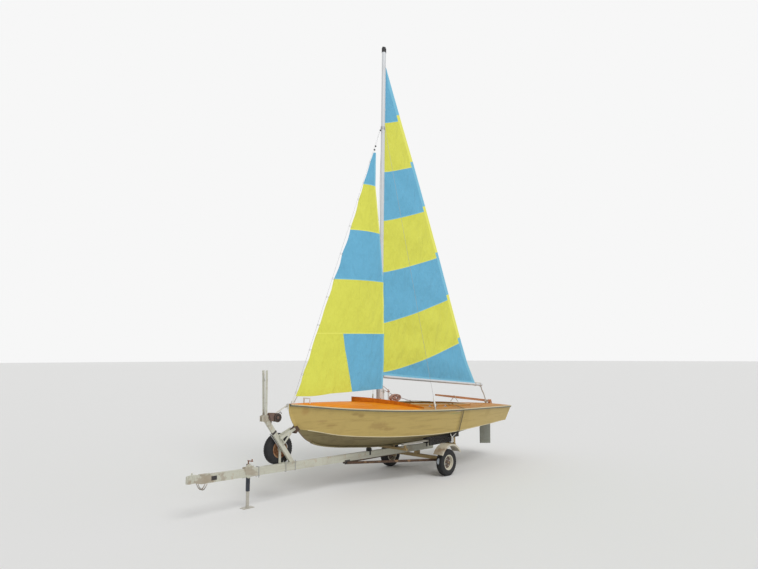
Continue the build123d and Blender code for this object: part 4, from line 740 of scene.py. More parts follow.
@dataclass(frozen=True)
class Studio:
    """Pale floor, pale world and soft light."""

    floor_tone: float = 0.80
    floor_reach: float = 250.0
    world_light: float = 0.62
    world_seen: float = 0.93
    sun_strength: float = 1.15
    sun_size: float = 0.6
    sun_turn: Point = (38, 12, 62)

    def build(self) -> None:
        """Create the floor, the world and the lamp."""
        scene = bpy.context.scene
        scene.view_settings.view_transform = "Standard"
        world = bpy.data.worlds.new("pale sky")
        scene.world = world
        world.use_nodes = True
        world.node_tree.nodes.clear()
        g = Graph(world.node_tree)
        rays = g.add("ShaderNodeLightPath").outputs
        seen = g.math("MAXIMUM", rays["Is Glossy Ray"], rays["Is Transmission Ray"])
        seen = g.math("MAXIMUM", rays["Is Camera Ray"], seen)
        strength = g.math("ADD", self.world_light, g.times(seen, self.world_seen - self.world_light))
        sky = g.add("ShaderNodeBackground", {"Color": (1, 1, 1), "Strength": strength})
        g.tree.links.new(sky.outputs[0], g.add("ShaderNodeOutputWorld").inputs[0])
        floor = bpy.data.materials.new("pale floor")
        floor.use_nodes = True
        shader = floor.node_tree.nodes["Principled BSDF"]
        tone, reach = self.floor_tone, self.floor_reach
        shader.inputs["Base Color"].default_value = (tone, tone, tone * 0.99, 1)
        shader.inputs["Roughness"].default_value = 0.9
        data = bpy.data.meshes.new("floor")
        corners = ((-reach, -reach, 0), (reach, -reach, 0), (reach, reach, 0), (-reach, reach, 0))
        data.from_pydata(corners, [], [(0, 1, 2, 3)])
        data.materials.append(floor)
        ground = add_object("floor", data)
        lamp = bpy.data.lights.new("sun", "SUN")
        lamp.energy = self.sun_strength
        lamp.angle = self.sun_size
        add_object("sun", lamp).rotation_euler = [radians(angle) for angle in self.sun_turn]


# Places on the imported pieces


class Surface:
    """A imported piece's own faces, for standing things on them."""

    def __init__(self, name: str) -> None:
        """Read the piece's mesh once."""
        data = NODES[name].data
        self.points = np.array([v.co for v in data.vertices])
        self.ends = self.points[np.array([e.vertices for e in data.edges])]
        self.tree = BVHTree.FromPolygons([v.co for v in data.vertices], [p.vertices for p in data.polygons])

    def top(self, x: float, y: float) -> float:
        """Height of the piece under a point."""
        hit = self.tree.ray_cast(Vector((x, y, 9)), Vector((0, 0, -1)))[0]
        return hit.z if hit else 0.0

    def corner(self, y: float, out: float, up: float) -> Vector:
        """Point of the port half, where a plane at y cuts it, that lies furthest in a direction."""
        a, b = self.ends[:, 0], self.ends[:, 1]
        hit = (np.minimum(a[:, 1], b[:, 1]) < y) & (np.maximum(a[:, 1], b[:, 1]) >= y) & (a[:, 0] > 0)
        share = (y - a[hit, 1]) / (b[hit, 1] - a[hit, 1])
        cut = a[hit] + (b[hit] - a[hit]) * share[:, None]
        return Vector(cut[np.argmax(cut[:, 0] * out + cut[:, 2] * up)])


def mast_middle(z: float) -> float:
    """Middle of the raked mast at a height."""
    return MAST_RAKE * (z - MAST_STEP)


def forestay_middle(z: float) -> float:
    """Middle of the forestay at a height."""
    foot, low = STAY_FOOT
    return foot + (mast_middle(HOUNDS) - STAY_AHEAD - foot) * (z - low) / (HOUNDS - low)


def boom_middle(y: float) -> float:
    """Height of the boom's middle at a place along it."""
    return BOOM_PLACE[1] + BOOM_SLOPE * (y - BOOM_PLACE[0])


def along_curve(table: Section, z: float) -> float:
    """Value of a line through (height, value) pairs at a height."""
    return float(np.interp(z, *zip(*table)))


# Sails


@dataclass(frozen=True)
class Seam:
    """Line across a sail where two cloths meet: heights at luff and leech, the cloth above and its bend."""

    luff_z: float
    leech_z: float
    above: str
    bend: float = 0.0


class Sail:
    """Shared building of the two striped sails."""

    name = "sail"
    body = "root"
    seam_width = 0.014
    rows_each = 10
    columns = 34
    wall = 0.0016
    hem = 0.04
    late_rows = -1
    ripple = 0.010
    pull = 0.007
    seams: tuple[Seam, ...] = ()

    def point(self, share: float, luff_z: float, leech_z: float, bend: float) -> Point:
        """Place of a point on the sail, as a share of the chord from luff to leech."""
        raise NotImplementedError

    def cloth(self, column: int, band: int) -> str:
        """Colour of the cloth in a column of a band."""
        return self.seams[band].above

    def levels(self) -> list[tuple[float, float, float, int, bool]]:
        """Rows of the mesh: luff height, leech height, bend, band and whether the cloth above is a seam."""
        rows = []
        for k, (low, high) in enumerate(zip(self.seams, self.seams[1:])):
            luff, leech, bend = high.luff_z - low.luff_z, high.leech_z - low.leech_z, high.bend - low.bend
            first = min(0.4, self.seam_width / max(luff, leech))
            for j in range(-1, self.rows_each):
                share = 0.0 if j < 0 else first + (1 - first) * j / self.rows_each
                rows.append((low.luff_z + luff * share, low.leech_z + leech * share,
                             low.bend + bend * share, k, j < 0 < k))
        last = self.seams[-1]
        return rows + [(last.luff_z, last.leech_z, last.bend, len(self.seams) - 2, False)]

    def chord(self, luff_z: float, leech_z: float) -> float:
        """Distance from luff to leech along a row."""
        return self.point(1, luff_z, leech_z, 0)[1] - self.point(0, luff_z, leech_z, 0)[1]

    def shares(self, luff_z: float, leech_z: float) -> list[float]:
        """Places of the mesh's columns across a row, the last one a hem's width from the leech."""
        inner = 1 - min(0.5, self.hem / self.chord(luff_z, leech_z))
        return [inner * k / (self.columns - 1) for k in range(self.columns)] + [1.0]

    def build(self) -> Object:
        """Make the sail as one sheet with its stripes, seams and hem."""
        shape = Shape(self.name)
        levels = self.levels()
        made = []
        for luff_z, leech_z, bend, _, _ in levels:
            row = [self.point(u, luff_z, leech_z, bend) for u in self.shares(luff_z, leech_z)]
            made.append([shape.mesh.verts.new(p) for p in row])
        for n, ((_, _, _, band, seam), low, high) in enumerate(zip(levels, made, made[1:])):
            for k in range(self.columns):
                hem = k == self.columns - 1
                late = hem and band > 1 and n % (self.rows_each + 1) <= self.late_rows
                colour = self.cloth(k, band - 1 if late else band)
                kind = "seam" if seam or hem or colour == "shelf" else "sail"
                face = shape.mesh.faces.new((low[k], low[k + 1], high[k + 1], high[k]))
                face.material_index = shape.paint(f"{kind}_{'blue' if colour == 'shelf' else colour}")
        return shape.finish(self.body, "sailcloth", crease=60, wall=self.wall)


class MainSail(Sail):
    """Mainsail between the mast and the boom."""

    name = "mainsail_cloth"
    body = "boom"
    luff_gap = 0.044
    camber = 0.052
    hem = 0.085
    late_rows = 1
    leech = ((1.383, 2.700), (1.764, 2.455), (2.157, 2.268), (2.951, 1.928), (3.699, 1.612), (4.506, 1.258),
             (5.253, 0.924), (5.982, 0.578), (6.500, 0.340), (6.850, 0.182))
    seams = (Seam(1.582, 1.383, "shelf"), Seam(1.630, 1.392, "blue"), Seam(1.640, 2.157, "yellow", -0.055),
             Seam(2.419, 2.951, "blue", -0.02), Seam(3.256, 3.699, "yellow", -0.015),
             Seam(4.120, 4.506, "blue", -0.012), Seam(4.965, 5.253, "yellow", -0.012),
             Seam(5.836, 6.002, "blue", -0.01), Seam(6.844, 6.852, "blue"))

    def point(self, share: float, luff_z: float, leech_z: float, bend: float) -> Point:
        """Point of the cambered, slightly creased cloth."""
        luff_y = mast_middle(luff_z) + self.luff_gap
        chord = max(along_curve(self.leech, leech_z) - luff_y, 0.012)
        z = luff_z + (leech_z - luff_z) * share + bend * sin(pi * share ** 0.7)
        fullness = min(1.0, chord / 1.2) * min(1.0, 0.25 + (z - 1.4) / 1.8)
        belly = self.camber * 4 * share * (1 - share) * fullness
        slack = self.ripple * sin(9.5 * z + 5 * share) * sin(pi * share) * min(1, chord)
        pull = self.pull * sin(26 * (share + 0.35 * z)) * exp(-((share - 0.12) / 0.08) ** 2)
        return (belly + slack + pull, luff_y + chord * share, z)


class Jib(Sail):
    """Jib between the forestay and the port side of the mast."""

    name = "jib_cloth"
    camber = 0.075
    split = 14
    leech = ((1.390, -0.050), (1.700, -0.008), (2.246, 0.030), (3.079, 0.037), (3.873, -0.028),
             (4.657, -0.110), (5.240, -0.084))
    leech_x = ((1.390, 0.110), (2.200, 0.075), (5.238, 0.010))
    seams = (Seam(1.350, 1.390, "yellow"), Seam(2.213, 2.246, "yellow"), Seam(3.040, 3.079, "blue"),
             Seam(3.850, 3.873, "yellow"), Seam(4.645, 4.657, "blue"), Seam(5.236, 5.240, "blue"))

    def shares(self, luff_z: float, leech_z: float) -> list[float]:
        """Columns that gather on the upright seam of the lowest cloth."""
        edge = 0.58 - 0.255 * min(1.0, (luff_z - 1.35) / 0.863)
        aft = self.columns - 1 - self.split
        inner = 1 - min(0.3, self.hem / self.chord(luff_z, leech_z))
        fore = [edge * k / self.split for k in range(self.split + 1)]
        return fore + [edge + (inner - edge) * k / aft for k in range(1, aft + 1)] + [1.0]

    def cloth(self, column: int, band: int) -> str:
        """Colour of the cloth: the lowest one is blue aft of its upright seam."""
        return "blue" if band == 0 and column >= self.split else super().cloth(column, band)

    def point(self, share: float, luff_z: float, leech_z: float, bend: float) -> Point:
        """Point of the cambered cloth, its luff drawn to the stay at each hank."""
        foot = 0.016 * sin(pi * min(share * 3, 1.0)) * max(0.0, 1 - (luff_z - 1.35) * 3)
        z = luff_z + (leech_z - luff_z) * share - foot
        near = min(abs(luff_z - h) for h in HANKS)
        stay = forestay_middle(luff_z)
        slack = along_curve(LUFF_SLACK, luff_z) + 0.010 * sin(min(near / 0.2, 1.0) * QUARTER)
        chord = max(along_curve(self.leech, leech_z) - stay, 0.032)
        belly = self.camber * 4 * share * (1 - share) * min(1.0, chord)
        pull = self.pull * sin(30 * (share - 0.5 * z)) * max(0.0, 1 - 5 * abs(share - 0.9)) * min(1, chord)
        crease = self.ripple * sin(14 * z) * max(0.0, 1 - 4 * share) * min(1, chord)
        x = along_curve(self.leech_x, z) * share + belly + pull + crease
        return (x, stay + slack * (1 - share) + chord * share, z)


def turns(middle: Point, reach: Point, count: int, steps: int, eight: float = 0.0) -> list[Point]:
    """Path of rope laid round and round.

    Args:
        middle: Centre of the turns.
        reach: Half-size in x, y and z; the turns wander across x.
        count: Number of turns.
        steps: Points in each turn.
        eight: How far the turns cross over in the middle, from 0 to 1.

    Returns:
        Points of the rope.
    """
    path = []
    for k in range(count * steps + 1):
        a, lap = FULL * k / steps, k / steps
        grow = 1 + 0.06 * sin(2.3 * lap)
        side = (1 - eight) * cos(a) + eight * sin(2 * a)
        path.append((middle[0] + reach[0] * sin(1.7 * lap) + 0.004 * eight * cos(a),
                     middle[1] + reach[1] * sin(a) * grow, middle[2] + reach[2] * side * grow))
    return path


# Trim


class Rigging:
    """Sails, stays' fittings, halyards and sheets."""

    def sails(self) -> None:
        """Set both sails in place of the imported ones."""
        main = MainSail().build()
        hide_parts("mainsail")
        jib = Jib().build()
        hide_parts("jib")

    def hanks(self) -> None:
        """Clip the jib's luff to the stay, and lash its head and tack."""
        shape = Shape("jib_hanks")
        for z in HANKS:
            reach = along_curve(LUFF_SLACK, z) / 2
            hank = oval((0.002, forestay_middle(z) + reach, z), (0, reach + 0.006, 0), (0, 0, 0.011), 13)
            shape.tube(hank, 0.0022, STEEL, 6)
        head = [(0, forestay_middle(z) + out, z) for z, out in ((5.25, 0.022), (5.64, 0.012))]
        shape.tube(head, 0.0025, STEEL, 6)
        bead = [(-0.007, 0.0), (-0.007, 0.013), (0.0, 0.016), (0.007, 0.013), (0.007, 0.0)]
        for z, out in ((5.29, 0.022), (5.36, 0.020), (5.67, 0.012)):
            shape.lathe(bead, (0, forestay_middle(z) + out, z), X_AXIS, "black_plastic", 16)
        shape.tube([(0, forestay_middle(z), z) for z in (1.288, 1.375)], 0.009, "white_plastic", 12)
        for fall in (((0.004, -1.714, 1.262), (0.004, -1.690, 1.30), (0.003, -1.655, 1.346)),
                     ((-0.004, -1.716, 1.262), (-0.004, -1.688, 1.30), (0.0, -1.652, 1.352))):
            shape.tube(fall, ROPE, "rope_white")
        shape.finish("root", STEEL)

    def mast_gear(self) -> None:
        """Track and bolts on the mast, and the mainsail's slides and headboard shackle."""
        track = Shape("mast_track")
        rows = []
        for z in (1.62, 3.4, 5.2, 7.04):
            y = mast_middle(z) + MAST_HALF[1] - 0.0005
            rows.append([(-0.007, y, z), (0.007, y, z), (0.007, y + 0.004, z), (-0.007, y + 0.004, z)])
        track.grid(rows, "spar_alloy")
        for side in (-1, 1):
            for y, z in ((-0.018, 1.235), (0.012, 1.345)):
                track.bolt((side * 0.0385, y, z), side, 0.009)
        track.finish("root", "spar_alloy")
        slides = Shape("sail_slides")
        for k in range(10):
            z = 1.75 + k * 0.54
            y = mast_middle(z) + MAST_HALF[1]
            low, high = (-0.006, y + 0.0038, z - 0.02), (0.006, y + 0.0105, z + 0.02)
            slides.slab(low, high, "white_plastic", 0.002)
        slides.tube([(0, 0.176, 6.845), (0, mast_middle(7.08) + 0.044, 7.08)], 0.002, STEEL, 6)
        slides.finish("boom", STEEL)

    def halyards(self) -> None:
        """Falls of the halyards, with turns round their pegs, and a line to starboard."""
        shape = Shape("halyard_falls")
        for x, y, z, side, paint in ((-0.012, 0.106, 1.330, 0.037, "rope_white"),
                                     (0.012, 0.200, 1.335, -0.037, "rope_pink")):
            fall = [(side, mast_middle(1.78), 1.78), (side, mast_middle(1.5) - 0.008, 1.50),
                    (x + 0.017, y - 0.004, z)]
            shape.tube(fall, ROPE, paint)
            for k in range(2):
                shape.tube(oval((x, y, z - 0.009 * k), (0.0175, 0, 0), (0, 0.0175, 0), 15), ROPE, paint)
        shape.tube(oval((0, 0.0035, 1.415), (0.036, 0, 0), (0, 0.042, 0), 21), ROPE, "rope_white")
        rail = Surface("coaming").corner(1.31, 0.2, 3)
        line = [(-0.036, 0.02, 1.412), (-0.055, 0.09, 1.385), (-0.20, 0.58, 1.235),
                (-rail.x, 1.31, rail.z + 0.006)]
        shape.tube(line, ROPE, "rope_pink")
        shape.finish("root", "webbing")

    def belayed_rope(self) -> None:
        """Cleat on the foredeck with a pinkish rope made fast round its horns."""
        x, deck = 0.15, Surface("foredeck").top(0.15, 0.17)
        cleat = Shape("deck_cleat")
        low, high = (x - 0.012, 0.125, deck - 0.002), (x + 0.012, 0.215, deck + 0.020)
        cleat.slab(low, high, "dark_varnish", 0.004)
        horns = ((0.085, 0.048, 0.006), (0.13, 0.030, 0.012), (0.21, 0.030, 0.012), (0.255, 0.048, 0.006))
        path = [(x, y, deck + up) for y, up, _ in horns]
        cleat.tube(path, [radius for _, _, radius in horns], "dark_varnish", 10)
        cleat.finish("root", "dark_varnish")
        rope = Shape("belayed_rope")
        for reach, count, eight in (((0.020, 0.118, 0.052), 7, 0.0), ((0.022, 0.092, 0.040), 6, 0.35),
                                    ((0.020, 0.064, 0.030), 5, 0.6)):
            rope.tube(turns((x, 0.205, deck + 0.072), reach, count, 18, eight), 0.0055, "rope_pink", 6)
        rope.tube(turns((x, 0.165, deck + 0.06), (0.02, 0.014, 0.05), 3, 14), 0.0052, "rope_pink", 6)
        rope.finish("root", "webbing")

    def shroud_covers(self) -> None:
        """White covers over the turnbuckles and pins at the chainplates."""
        shape = Shape("turnbuckle_covers")
        foot, wide = Surface("shrouds").corner(0.557, 1, 0), 0.012
        head = Vector((MAST_HALF[0] + 0.008, mast_middle(HOUNDS) + 0.006, HOUNDS))
        up = (head - foot).normalized()
        cover = [(0.035, 0.0), (0.036, wide * 0.8), (0.045, wide), (0.175, wide), (0.190, wide * 0.5),
                 (0.191, 0.0)]
        for base, axis in ((foot, up), mirror((foot, up))):
            shape.lathe(cover, base, axis, "white_plastic", 16)
        shape.finish("root", STEEL)

    def boom_gear(self) -> None:
        """Outhaul, ropes round the boom and its end eye, and the mainsheet down to the stern."""
        shape = Shape("boom_gear")
        shape.tube([(0, 2.692, 1.394), (0, 2.78, 1.384), (0, 2.912, 1.372)], ROPE, "rope_white")
        for y in (2.70, 2.86):
            lashing = oval((0, y, boom_middle(y)), (0.0285, 0, 0), (0, 0, 0.0285), 15)
            shape.tube(lashing, 0.004, "rope_white", 6)
        eye = [(-0.004, 0.0), (-0.004, 0.014), (0.004, 0.014), (0.004, 0.0)]
        shape.lathe(eye, (0, 2.90, 1.303), X_AXIS, STEEL, 16)
        shape.finish("boom", STEEL)
        sheet = Shape("mainsheet")
        low, high = (0.045, 3.020, 0.985), (0.0, 2.895, 1.318)
        for k in (-1, 1):
            fall = (high, (0.003, 2.935, 1.235), (0.012, 2.985, 1.155), (0.030, 3.000, 1.065), low)
            sheet.tube([(x + 0.006 * k, y, z) for x, y, z in fall], ROPE, "rope_white")
        piece = sheet.finish("", "webbing")
        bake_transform(piece)
        knot = Shape("mainsheet_knot")
        deck = Surface("aft_deck").top(0.045, 3.0)
        knot.tube(turns((0.045, 3.01, deck + 0.036), (0.012, 0.040, 0.026), 5, 14), ROPE, "rope_white", 6)
        knot.slab((0.030, 2.985, deck - 0.002), (0.060, 3.035, deck + 0.012), STEEL, 0.003)
        knot.finish("root", "webbing")

    def build(self) -> None:
        """Make all of the rigging."""
        for step in (self.sails, self.hanks, self.mast_gear, self.halyards, self.belayed_rope,
                     self.shroud_covers, self.boom_gear):
            step()


class HullTrim:
    """Painted highlights along edges, deck fittings and helm details of the boat."""

    def edge_highlights(self) -> None:
        """Painted highlight: a pale line along both rails, both chines and the coaming's crest, where their
        edges catch the light.
        """
        rail, plank, coaming = Surface("rub_rails"), Surface("side_panel_port"), Surface("coaming")
        stations = [-1.782 + 4.862 * (k / 70) for k in range(71)]
        shape = Shape("painted_edge_highlights")
        for surface, places, way, shift, radius in (
                (rail, stations, (1, 0.5), (-0.001, 0, -0.005), 0.008),
                (plank, stations[4:-3], (1, -3), (0.0005, 0, 0.004), 0.0064),
                (coaming, np.linspace(0.29, 1.86, 24), (0.2, 3), (-0.003, 0, 0.001), 0.007)):
            path = [surface.corner(y, *way) + Vector(shift) for y in places]
            for line in (path, mirror(path)):
                shape.tube(line, radius, "painted_edge_highlight")
        shape.finish("root", "topside_paint")

    def deck_gear(self) -> None:
        """Fairleads and cleats on the side decks."""
        deck = Surface("side_decks")
        shape = Shape("deck_gear")
        for side in (-1, 1):
            for x, y in ((side * 0.52, 0.62), (side * 0.53, 1.02)):
                z = deck.top(x, y)
                low, high = (x - 0.012, y - 0.035, z - 0.001), (x + 0.012, y + 0.035, z + 0.006)
                shape.slab(low, high, STEEL, 0.002)
                loop = oval((x, y, z + 0.006), (0, 0.014, 0), (0, 0, 0.018), 9, pi)
                shape.tube(loop, 0.0035, STEEL, 6)
            x, z = side * 0.49, deck.top(side * 0.49, 0.80)
            shape.slab((x - 0.02, 0.77, z - 0.001), (x + 0.02, 0.83, z + 0.022), "black_plastic", 0.005)
        shape.finish("root", STEEL)

    def helm(self) -> None:
        """Rope strop over the tiller and bolts through the rudder head."""
        shape = Shape("helm_fittings")
        leg = [(0.085, 2.012, 1.068), (0.030, 2.014, 1.130), (0.012, 2.014, 1.174)]
        shape.tube(leg + mirror(reversed(leg)), 0.0055, "rope_white", 8)
        for y, z in ((3.215, 0.99), (3.22, 0.93), (3.21, 0.78), (3.16, 0.73)):
            for side in (-1, 1):
                shape.bolt((side * 0.0208, y, z), side, 0.010)
        shape.finish("rudder", STEEL)

    def build(self) -> None:
        """Make all of the trim."""
        self.edge_highlights()
        self.deck_gear()
        self.helm()


class Tyres:
    """Road wheels' tyres and the spare one, with grooved treads, and the wheel nuts."""

    steps = 120

    def profile(self) -> list[tuple[float, float]]:
        """Section of a tyre as (place across, radius) pairs, closed through its inner wall."""
        w, r = TYRE_HALF, TYRE_RADIUS
        wall = [(w * 0.62, 0.1135), (w * 0.80, 0.118), (w * 0.93, 0.130), (w, 0.152), (w * 0.985, 0.172),
                (w * 0.94, 0.186), (w * 0.86, 0.197), (w * 0.76, r - 0.003), (w * 0.64, r - 0.0008)]
        grooves = [(0.50, 0), (0.49, -0.006), (0.40, -0.006), (0.39, 0), (0.11, 0.0), (0.10, -0.006)]
        outer = wall + [(w * s, r + d) for s, d in grooves]
        inner = [(-w * 0.5, 0.1125), (w * 0.5, 0.1125)]
        return outer + [(-s, radius) for s, radius in reversed(outer)] + inner

    def tyre(self, name: str, centre: Point, body: str, node: str) -> None:
        """One tyre with its tread blocks cut by cross slots.

        Args:
            name: Name of the piece.
            centre: Middle of the wheel.
            body: Body it rides on.
            node: Packed tyre that it stands for.
        """
        shape = Shape(name)
        along, side, other = axes(X_AXIS)
        rows = []
        for j in range(self.steps):
            a, cut = FULL * j / self.steps, 0.004 if j % 3 == 0 else 0.0
            row = []
            for s, r in self.profile():
                tread, part = r > 0.195, abs(s) / TYRE_HALF
                skew = copysign(0.02, s) * min(1.0, part) if tread else 0.0
                out = side * cos(a + skew) + other * sin(a + skew)
                reach = r - cut if tread and 0.36 < part < 0.9 else r
                row.append(Vector(centre) + along * s + out * reach)
            rows.append(row)
        shape.grid(rows, "tyre", ring=True)
        for sign in (-1, 1):
            for r, part in ((0.139, 0.945), (0.161, 0.99)):
                foot = sign * TYRE_HALF * part
                rib = [(foot, r - 0.0018), (foot + sign * 0.0016, r), (foot, r + 0.0018)]
                shape.lathe(rib, centre, X_AXIS, "tyre", 72)
        piece = shape.finish(body, "tyre", 40)
        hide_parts(node)

    def nuts(self, side: int, word: str) -> None:
        """Ring of wheel nuts standing on a rim's disc, on the side and with the word of that side."""
        shape = Shape(f"wheel_nuts_{word}")
        face = Surface(f"wheel_rim_{word}")
        nut = [(-0.004, 0), (-0.004, 0.0095), (0.009, 0.0095), (0.012, 0.006), (0.012, 0)]
        for a in (0.4 + QUARTER * k for k in range(4)):
            start = Vector((3 * side, AXLE[0] + NUT_CIRCLE * cos(a), AXLE[1] + NUT_CIRCLE * sin(a)))
            hit = face.tree.ray_cast(start, Vector((-side, 0, 0)))[0]
            if hit:
                shape.lathe(nut, hit, (side, 0, 0), STEEL, 6)
        shape.finish(f"wheel_{word}", STEEL, 30)

    def build(self) -> None:
        """Make the three tyres and their nuts."""
        for side, word in ((1, "port"), (-1, "starboard")):
            self.tyre(f"tyre_{word}", (side * WHEEL_X, *AXLE), f"wheel_{word}", f"wheel_tyre_{word}")
            self.nuts(side, word)
        self.tyre("tyre_spare", SPARE, "root", "spare_tyre")


class TrailerTrim:
    """Straps, chains, fastenings and small fittings of the trailer."""

    def bolts(self) -> None:
        """Screw heads along the rub rails, and bolt heads on the mudguards' crowns and the cross beams."""
        rail, guard, beam = Surface("rub_rails"), Surface("mudguards"), Surface("cross_beams")
        screws, bolts = [], []
        for y in np.linspace(-1.55, 2.98, 31):
            spot = rail.corner(float(y), 1, -0.1)
            for side in (-1, 1):
                screws.append(((side * (spot.x - 0.0005), spot.y, spot.z - 0.004), (0, QUARTER, 0)))
        Repeat("rail_screws", (0.0035, 0.0035, 0.002)).build(screws, STEEL, STEEL)
        for side in (-1, 1):
            for x in (0.56, 0.60):
                bolts.append(((side * x, 0.90, guard.top(side * x, 0.90) + 0.002), (0, 0, 0)))
            for x, y in ((0.43, 0.2), (0.48, 0.2), (0.43, 1.29), (0.48, 1.29)):
                z = beam.top(side * x, y)
                if z > 0.3:
                    bolts.append(((side * x, y, z + 0.003), (0, 0, 0)))
        Repeat("trailer_bolts", (0.009, 0.009, 0.008)).build(bolts, STEEL, STEEL)

    def chains(self) -> None:
        """Pair of short safety chains hanging under the coupling."""
        places = []
        for x in (-0.020, 0.020):
            fore, dip, aft = (Vector((x, *p)) for p in ((-3.121, 0.418), (-3.060, 0.275), (-3.004, 0.400)))
            shares = np.linspace(0, 1, 15)
            path = [fore * (1 - t) ** 2 + dip * 2 * t * (1 - t) + aft * t * t for t in shares]
            for k, (a, b) in enumerate(zip(path, path[1:])):
                way = (b - a).normalized()
                turn = way.to_track_quat("X", "Z").to_matrix() @ Matrix.Rotation(QUARTER * (k % 2), 3, "X")
                places.append((tuple((a + b) / 2), tuple(turn.to_euler())))
        links = Repeat("safety_chains", (0.0095, 0.0055, 0.0020), link=True)
        links.build(places, "chain_steel", "bare_steel")

    def tie_strap(self) -> None:
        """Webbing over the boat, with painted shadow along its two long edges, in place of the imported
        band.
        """
        band, sunk = Surface("tie_strap"), 0.0015
        middle, y0 = float(band.points[:, 1].mean()), float(band.points[:, 1].min())
        corners = sorted({(round(float(x), 4), round(float(z), 4))
                          for x, y, z in band.points if x > 0.3 and y - y0 < 0.001})
        rail = [c for c in corners if c[0] > corners[-1][0] - 0.004]
        (foot, foot_z), (top, top_z) = (pick(corners, key=itemgetter(1)) for pick in (min, max))
        (low, low_z), (high, high_z) = (pick(rail, key=itemgetter(1)) for pick in (min, max))
        half = [(foot + sunk, foot_z), (low - sunk, low_z), (high - sunk, high_z), (top, top_z - sunk)]
        path = [Vector(p) for p in half + [(-x, z) for x, z in reversed(half)]]
        shape = Shape("tie_down_strap")
        across = (-0.0125, -0.0105, 0.0105, 0.0125)
        rows = []
        for point, way in headings(path):
            out = Vector((way.y, -way.x)) * 0.0013
            out = out if out.dot(point - Vector((0, 0.9))) > 0 else -out
            skins = ((point - out, across), (point + out, across[::-1]))
            rows.append([(skin.x, middle + y, skin.y) for skin, order in skins for y in order])
        shape.grid(rows, "khaki_webbing")
        # Painted shadow: the outer 2 mm of each long edge take the dark strap cloth.
        edge_shadow = shape.paint("dark_strap_and_edge_shadow")
        for face in shape.mesh.faces:
            if abs(face.calc_center_median().y - middle) > 0.0105:
                face.material_index = edge_shadow
        piece = shape.finish("root", "webbing", 40)
        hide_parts("tie_strap")

    def winch_strap(self) -> None:
        """Webbing wound on the drum with its lead to the bow, and the ring there."""
        shape = Shape("winch_webbing")
        drum, wound, turns_on, steps = 0.034, 0.0505, 5, 24
        bow = Vector((0, -1.838, 1.232))
        away = bow - WINCH
        start = atan2(away.z, away.y) + acos(wound / away.length)
        path = []
        for share in np.linspace(0, 1, turns_on * steps + 1):
            a, r = start + FULL * turns_on * share, drum + (wound - drum) * share
            path.append(WINCH + Vector((0, r * cos(a), r * sin(a))))
        path += [path[-1].lerp(bow, t) for t in (0.3, 0.65, 1.0)]
        hook = ((0.012, 0.014), (0.016, 0.004), (0.004, -0.012), (-0.02, -0.024))
        path += [bow + Vector((0, y, z)) for y, z in hook]
        wide, rows = Vector((0.0185, 0, 0)), []
        for point, way in headings(path):
            up = Vector((0, -way.z, way.y)) * 0.0011
            rows.append([point - wide - up, point + wide - up, point + wide + up, point - wide + up])
        shape.grid(rows, "webbing")
        shape.tube(oval((0, -1.828, 1.236), (0, 0.0145, 0), (0, 0, 0.0145), 17), 0.0042, STEEL, 8)
        piece = shape.finish("root", "webbing", 40)
        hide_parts("winch_strap")

    def winch_gear(self) -> None:
        """Toothed wheel with ribs, hub and pawl on the winch's port side."""
        shape = Shape("winch_gear")
        _, y, z = WINCH
        rows = []
        for x in (0.0415, 0.0472):
            roots, tips = (oval((x, y, z), (0, r, 0), (0, 0, r), 53)[:-1] for r in (0.0560, 0.0612))
            rows.append([tip if k % 2 else root for k, (root, tip) in enumerate(zip(roots, tips))])
        shape.grid(rows, "winch_dark")
        hub = [(0.044, 0.0), (0.044, 0.021), (0.0505, 0.020), (0.052, 0.013), (0.059, 0.012), (0.060, 0.0)]
        band = [(0.0470, 0.047), (0.0500, 0.048), (0.0500, 0.053), (0.0470, 0.054)]
        shape.lathe(hub, (0, y, z), X_AXIS, "winch_paint", 24)
        shape.lathe(band, (0, y, z), X_AXIS, "winch_paint", 48)
        for k in range(5):
            turn = Matrix.Translation(WINCH) @ Matrix.Rotation(FULL * k / 5 + 0.3, 4, "X")
            shape.slab((0.0468, -0.003, 0.018), (0.0498, 0.003, 0.049), "winch_paint", 0.0008, turn)
        pawl = [(0.045, y + out, z + up) for out, up in ((0.058, 0.050), (0.035, 0.072), (0.012, 0.064))]
        shape.tube(pawl, (0.006, 0.006, 0.003), "winch_paint", 8)
        pin = [(0.040, 0.0), (0.040, 0.009), (0.052, 0.009), (0.053, 0.0)]
        shape.lathe(pin, (0, y + 0.038, z + 0.071), X_AXIS, STEEL, 6)
        shape.finish("root", "winch_dark", 30)

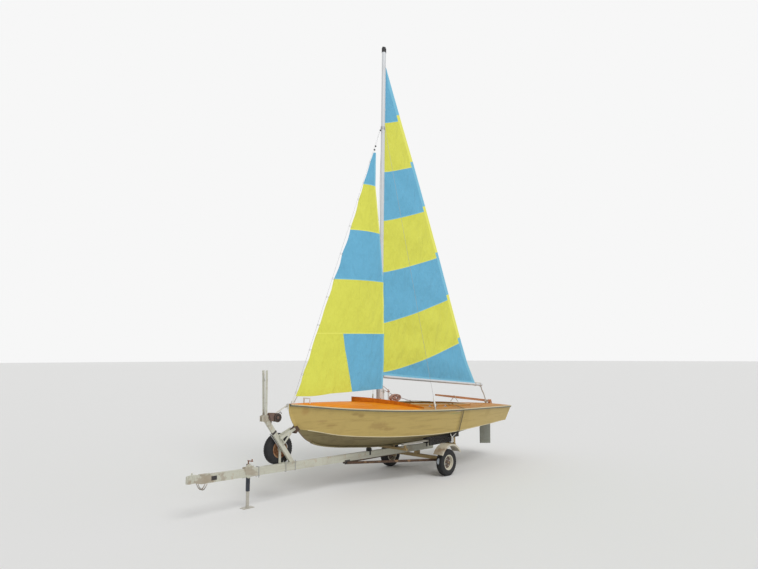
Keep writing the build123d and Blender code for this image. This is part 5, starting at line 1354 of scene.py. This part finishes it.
    def small_parts(self) -> None:
        """Label, clamp on the braces, bars, hook and strap at the winch post, and wires at a bunk."""
        shape = Shape("trailer_fittings")
        shape.slab((0.0252, -2.985, 0.432), (0.0268, -2.878, 0.480), "label_dark", 0.0005)
        # The clamp takes the braces' near-black colour, partly rust and partly painted shade.
        shape.slab((0.019, -0.774, 0.326), (0.034, -0.673, 0.383), "brace_paint", 0.003)
        bar = ((-0.03, -2.077, 0.88), (-0.03, -1.98, 0.76), (-0.03, -1.927, 0.684))
        hook = [(x, -2.196, z) for x, z in ((-0.067, 1.700), (-0.055, 1.672), (-0.038, 1.648),
                                            (-0.018, 1.612), (-0.002, 1.571))]
        curve = ((0, -1.859, 0.757), (0, -1.835, 0.735), (0, -1.812, 0.705), (0, -1.809, 0.680))
        for path, radius, sides in ((bar, 0.006, 8), (hook, 0.0035, 6), (curve, 0.006, 8)):
            shape.tube(path, radius, STEEL, sides)
        fork = (1.175, 0.561)
        tail = ((1.211, 0.547), (1.209, 0.482))
        for path in (((1.135, 0.627), fork), ((1.290, 0.615), fork), (fork, *tail)):
            shape.tube([(0.538, y, z) for y, z in path], 0.007, "white_plastic")
        foot, head = Vector((0, -1.737, 0.494)), Vector((0, -2.184, 1.097))
        lean, side = (head - foot).normalized(), Vector(X_AXIS)
        turn = Matrix((side, lean.cross(side), lean)).transposed().to_4x4()
        turn.translation = foot + lean * 0.505
        shape.slab((-0.0215, -0.0315, -0.014), (0.0215, 0.0315, 0.014), "dark_strap_and_edge_shadow", 0.001, turn)
        shape.finish("root", "bare_steel", 35)

    def bunks(self) -> None:
        """Carpet wrapped round the bunk boards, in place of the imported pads."""
        pads, shape = Surface("bunk_pads"), Shape("bunk_carpet")
        inner, outer, board, low, deep = 0.305, 0.395, 0.3705, 0.555, 0.458
        first, last, step = 0.7005, 1.3695, 0.77
        for side in (-1, 1):
            rows = []
            for y in (first, 0.712, 0.74, 0.769, *np.linspace(0.772, 1.358, 14), last):
                ease = 0.004 if y in (first, last) else 0.0
                inside = min(max(y, 0.702), 1.368)
                crown = [(x, pads.top(side * x, inside) - ease)
                         for x in (inner + 0.006, 0.33, 0.36, outer - 0.006)]
                foot = deep if y > step else low
                section = [(board, foot), (board, low), (inner + ease, low), (inner, low + 0.004),
                           (inner, crown[0][1] - 0.006), *crown, (outer, crown[-1][1] - 0.006),
                           (outer - ease, foot)]
                rows.append([(side * x, y, z) for x, z in section])
            shape.grid(rows, "bunk_cover")
        piece = shape.finish("root", "bunk_cover", 40)
        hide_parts("bunk_pads")

    def build(self) -> None:
        """Make all of the trailer's fittings."""
        for step in (self.tie_strap, self.winch_strap, self.winch_gear, self.bunks, self.chains,
                     self.small_parts, self.bolts):
            step()


# Scene


def main(loaded: tuple[Vector, Vector]) -> None:
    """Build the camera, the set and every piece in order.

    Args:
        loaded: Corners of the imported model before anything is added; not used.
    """
    logging.basicConfig(level=logging.INFO, format="%(name)s %(message)s")
    PhotoCamera().build()
    Studio().build()
    groups = shared_groups()
    Shape.palette.update({finish.name: finish.build(groups) for finish in FINISHES})
    slots = {row["node"]: row["material_slot"] for row in frame["record"]["subparts"]}
    for name, node in NODES.items():
        if slots[name] == "sailcloth":
            continue
        material = Shape.palette[NODE_FINISH.get(name, slots[name])]
        node.data.materials.clear()
        node.data.materials.append(material)
        LOG.info("%s: %s", name, material.name)
    for trim in (Rigging(), HullTrim(), Tyres(), TrailerTrim()):
        trim.build()
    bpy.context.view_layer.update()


if __name__ == "__main__":
    main(LOADED)
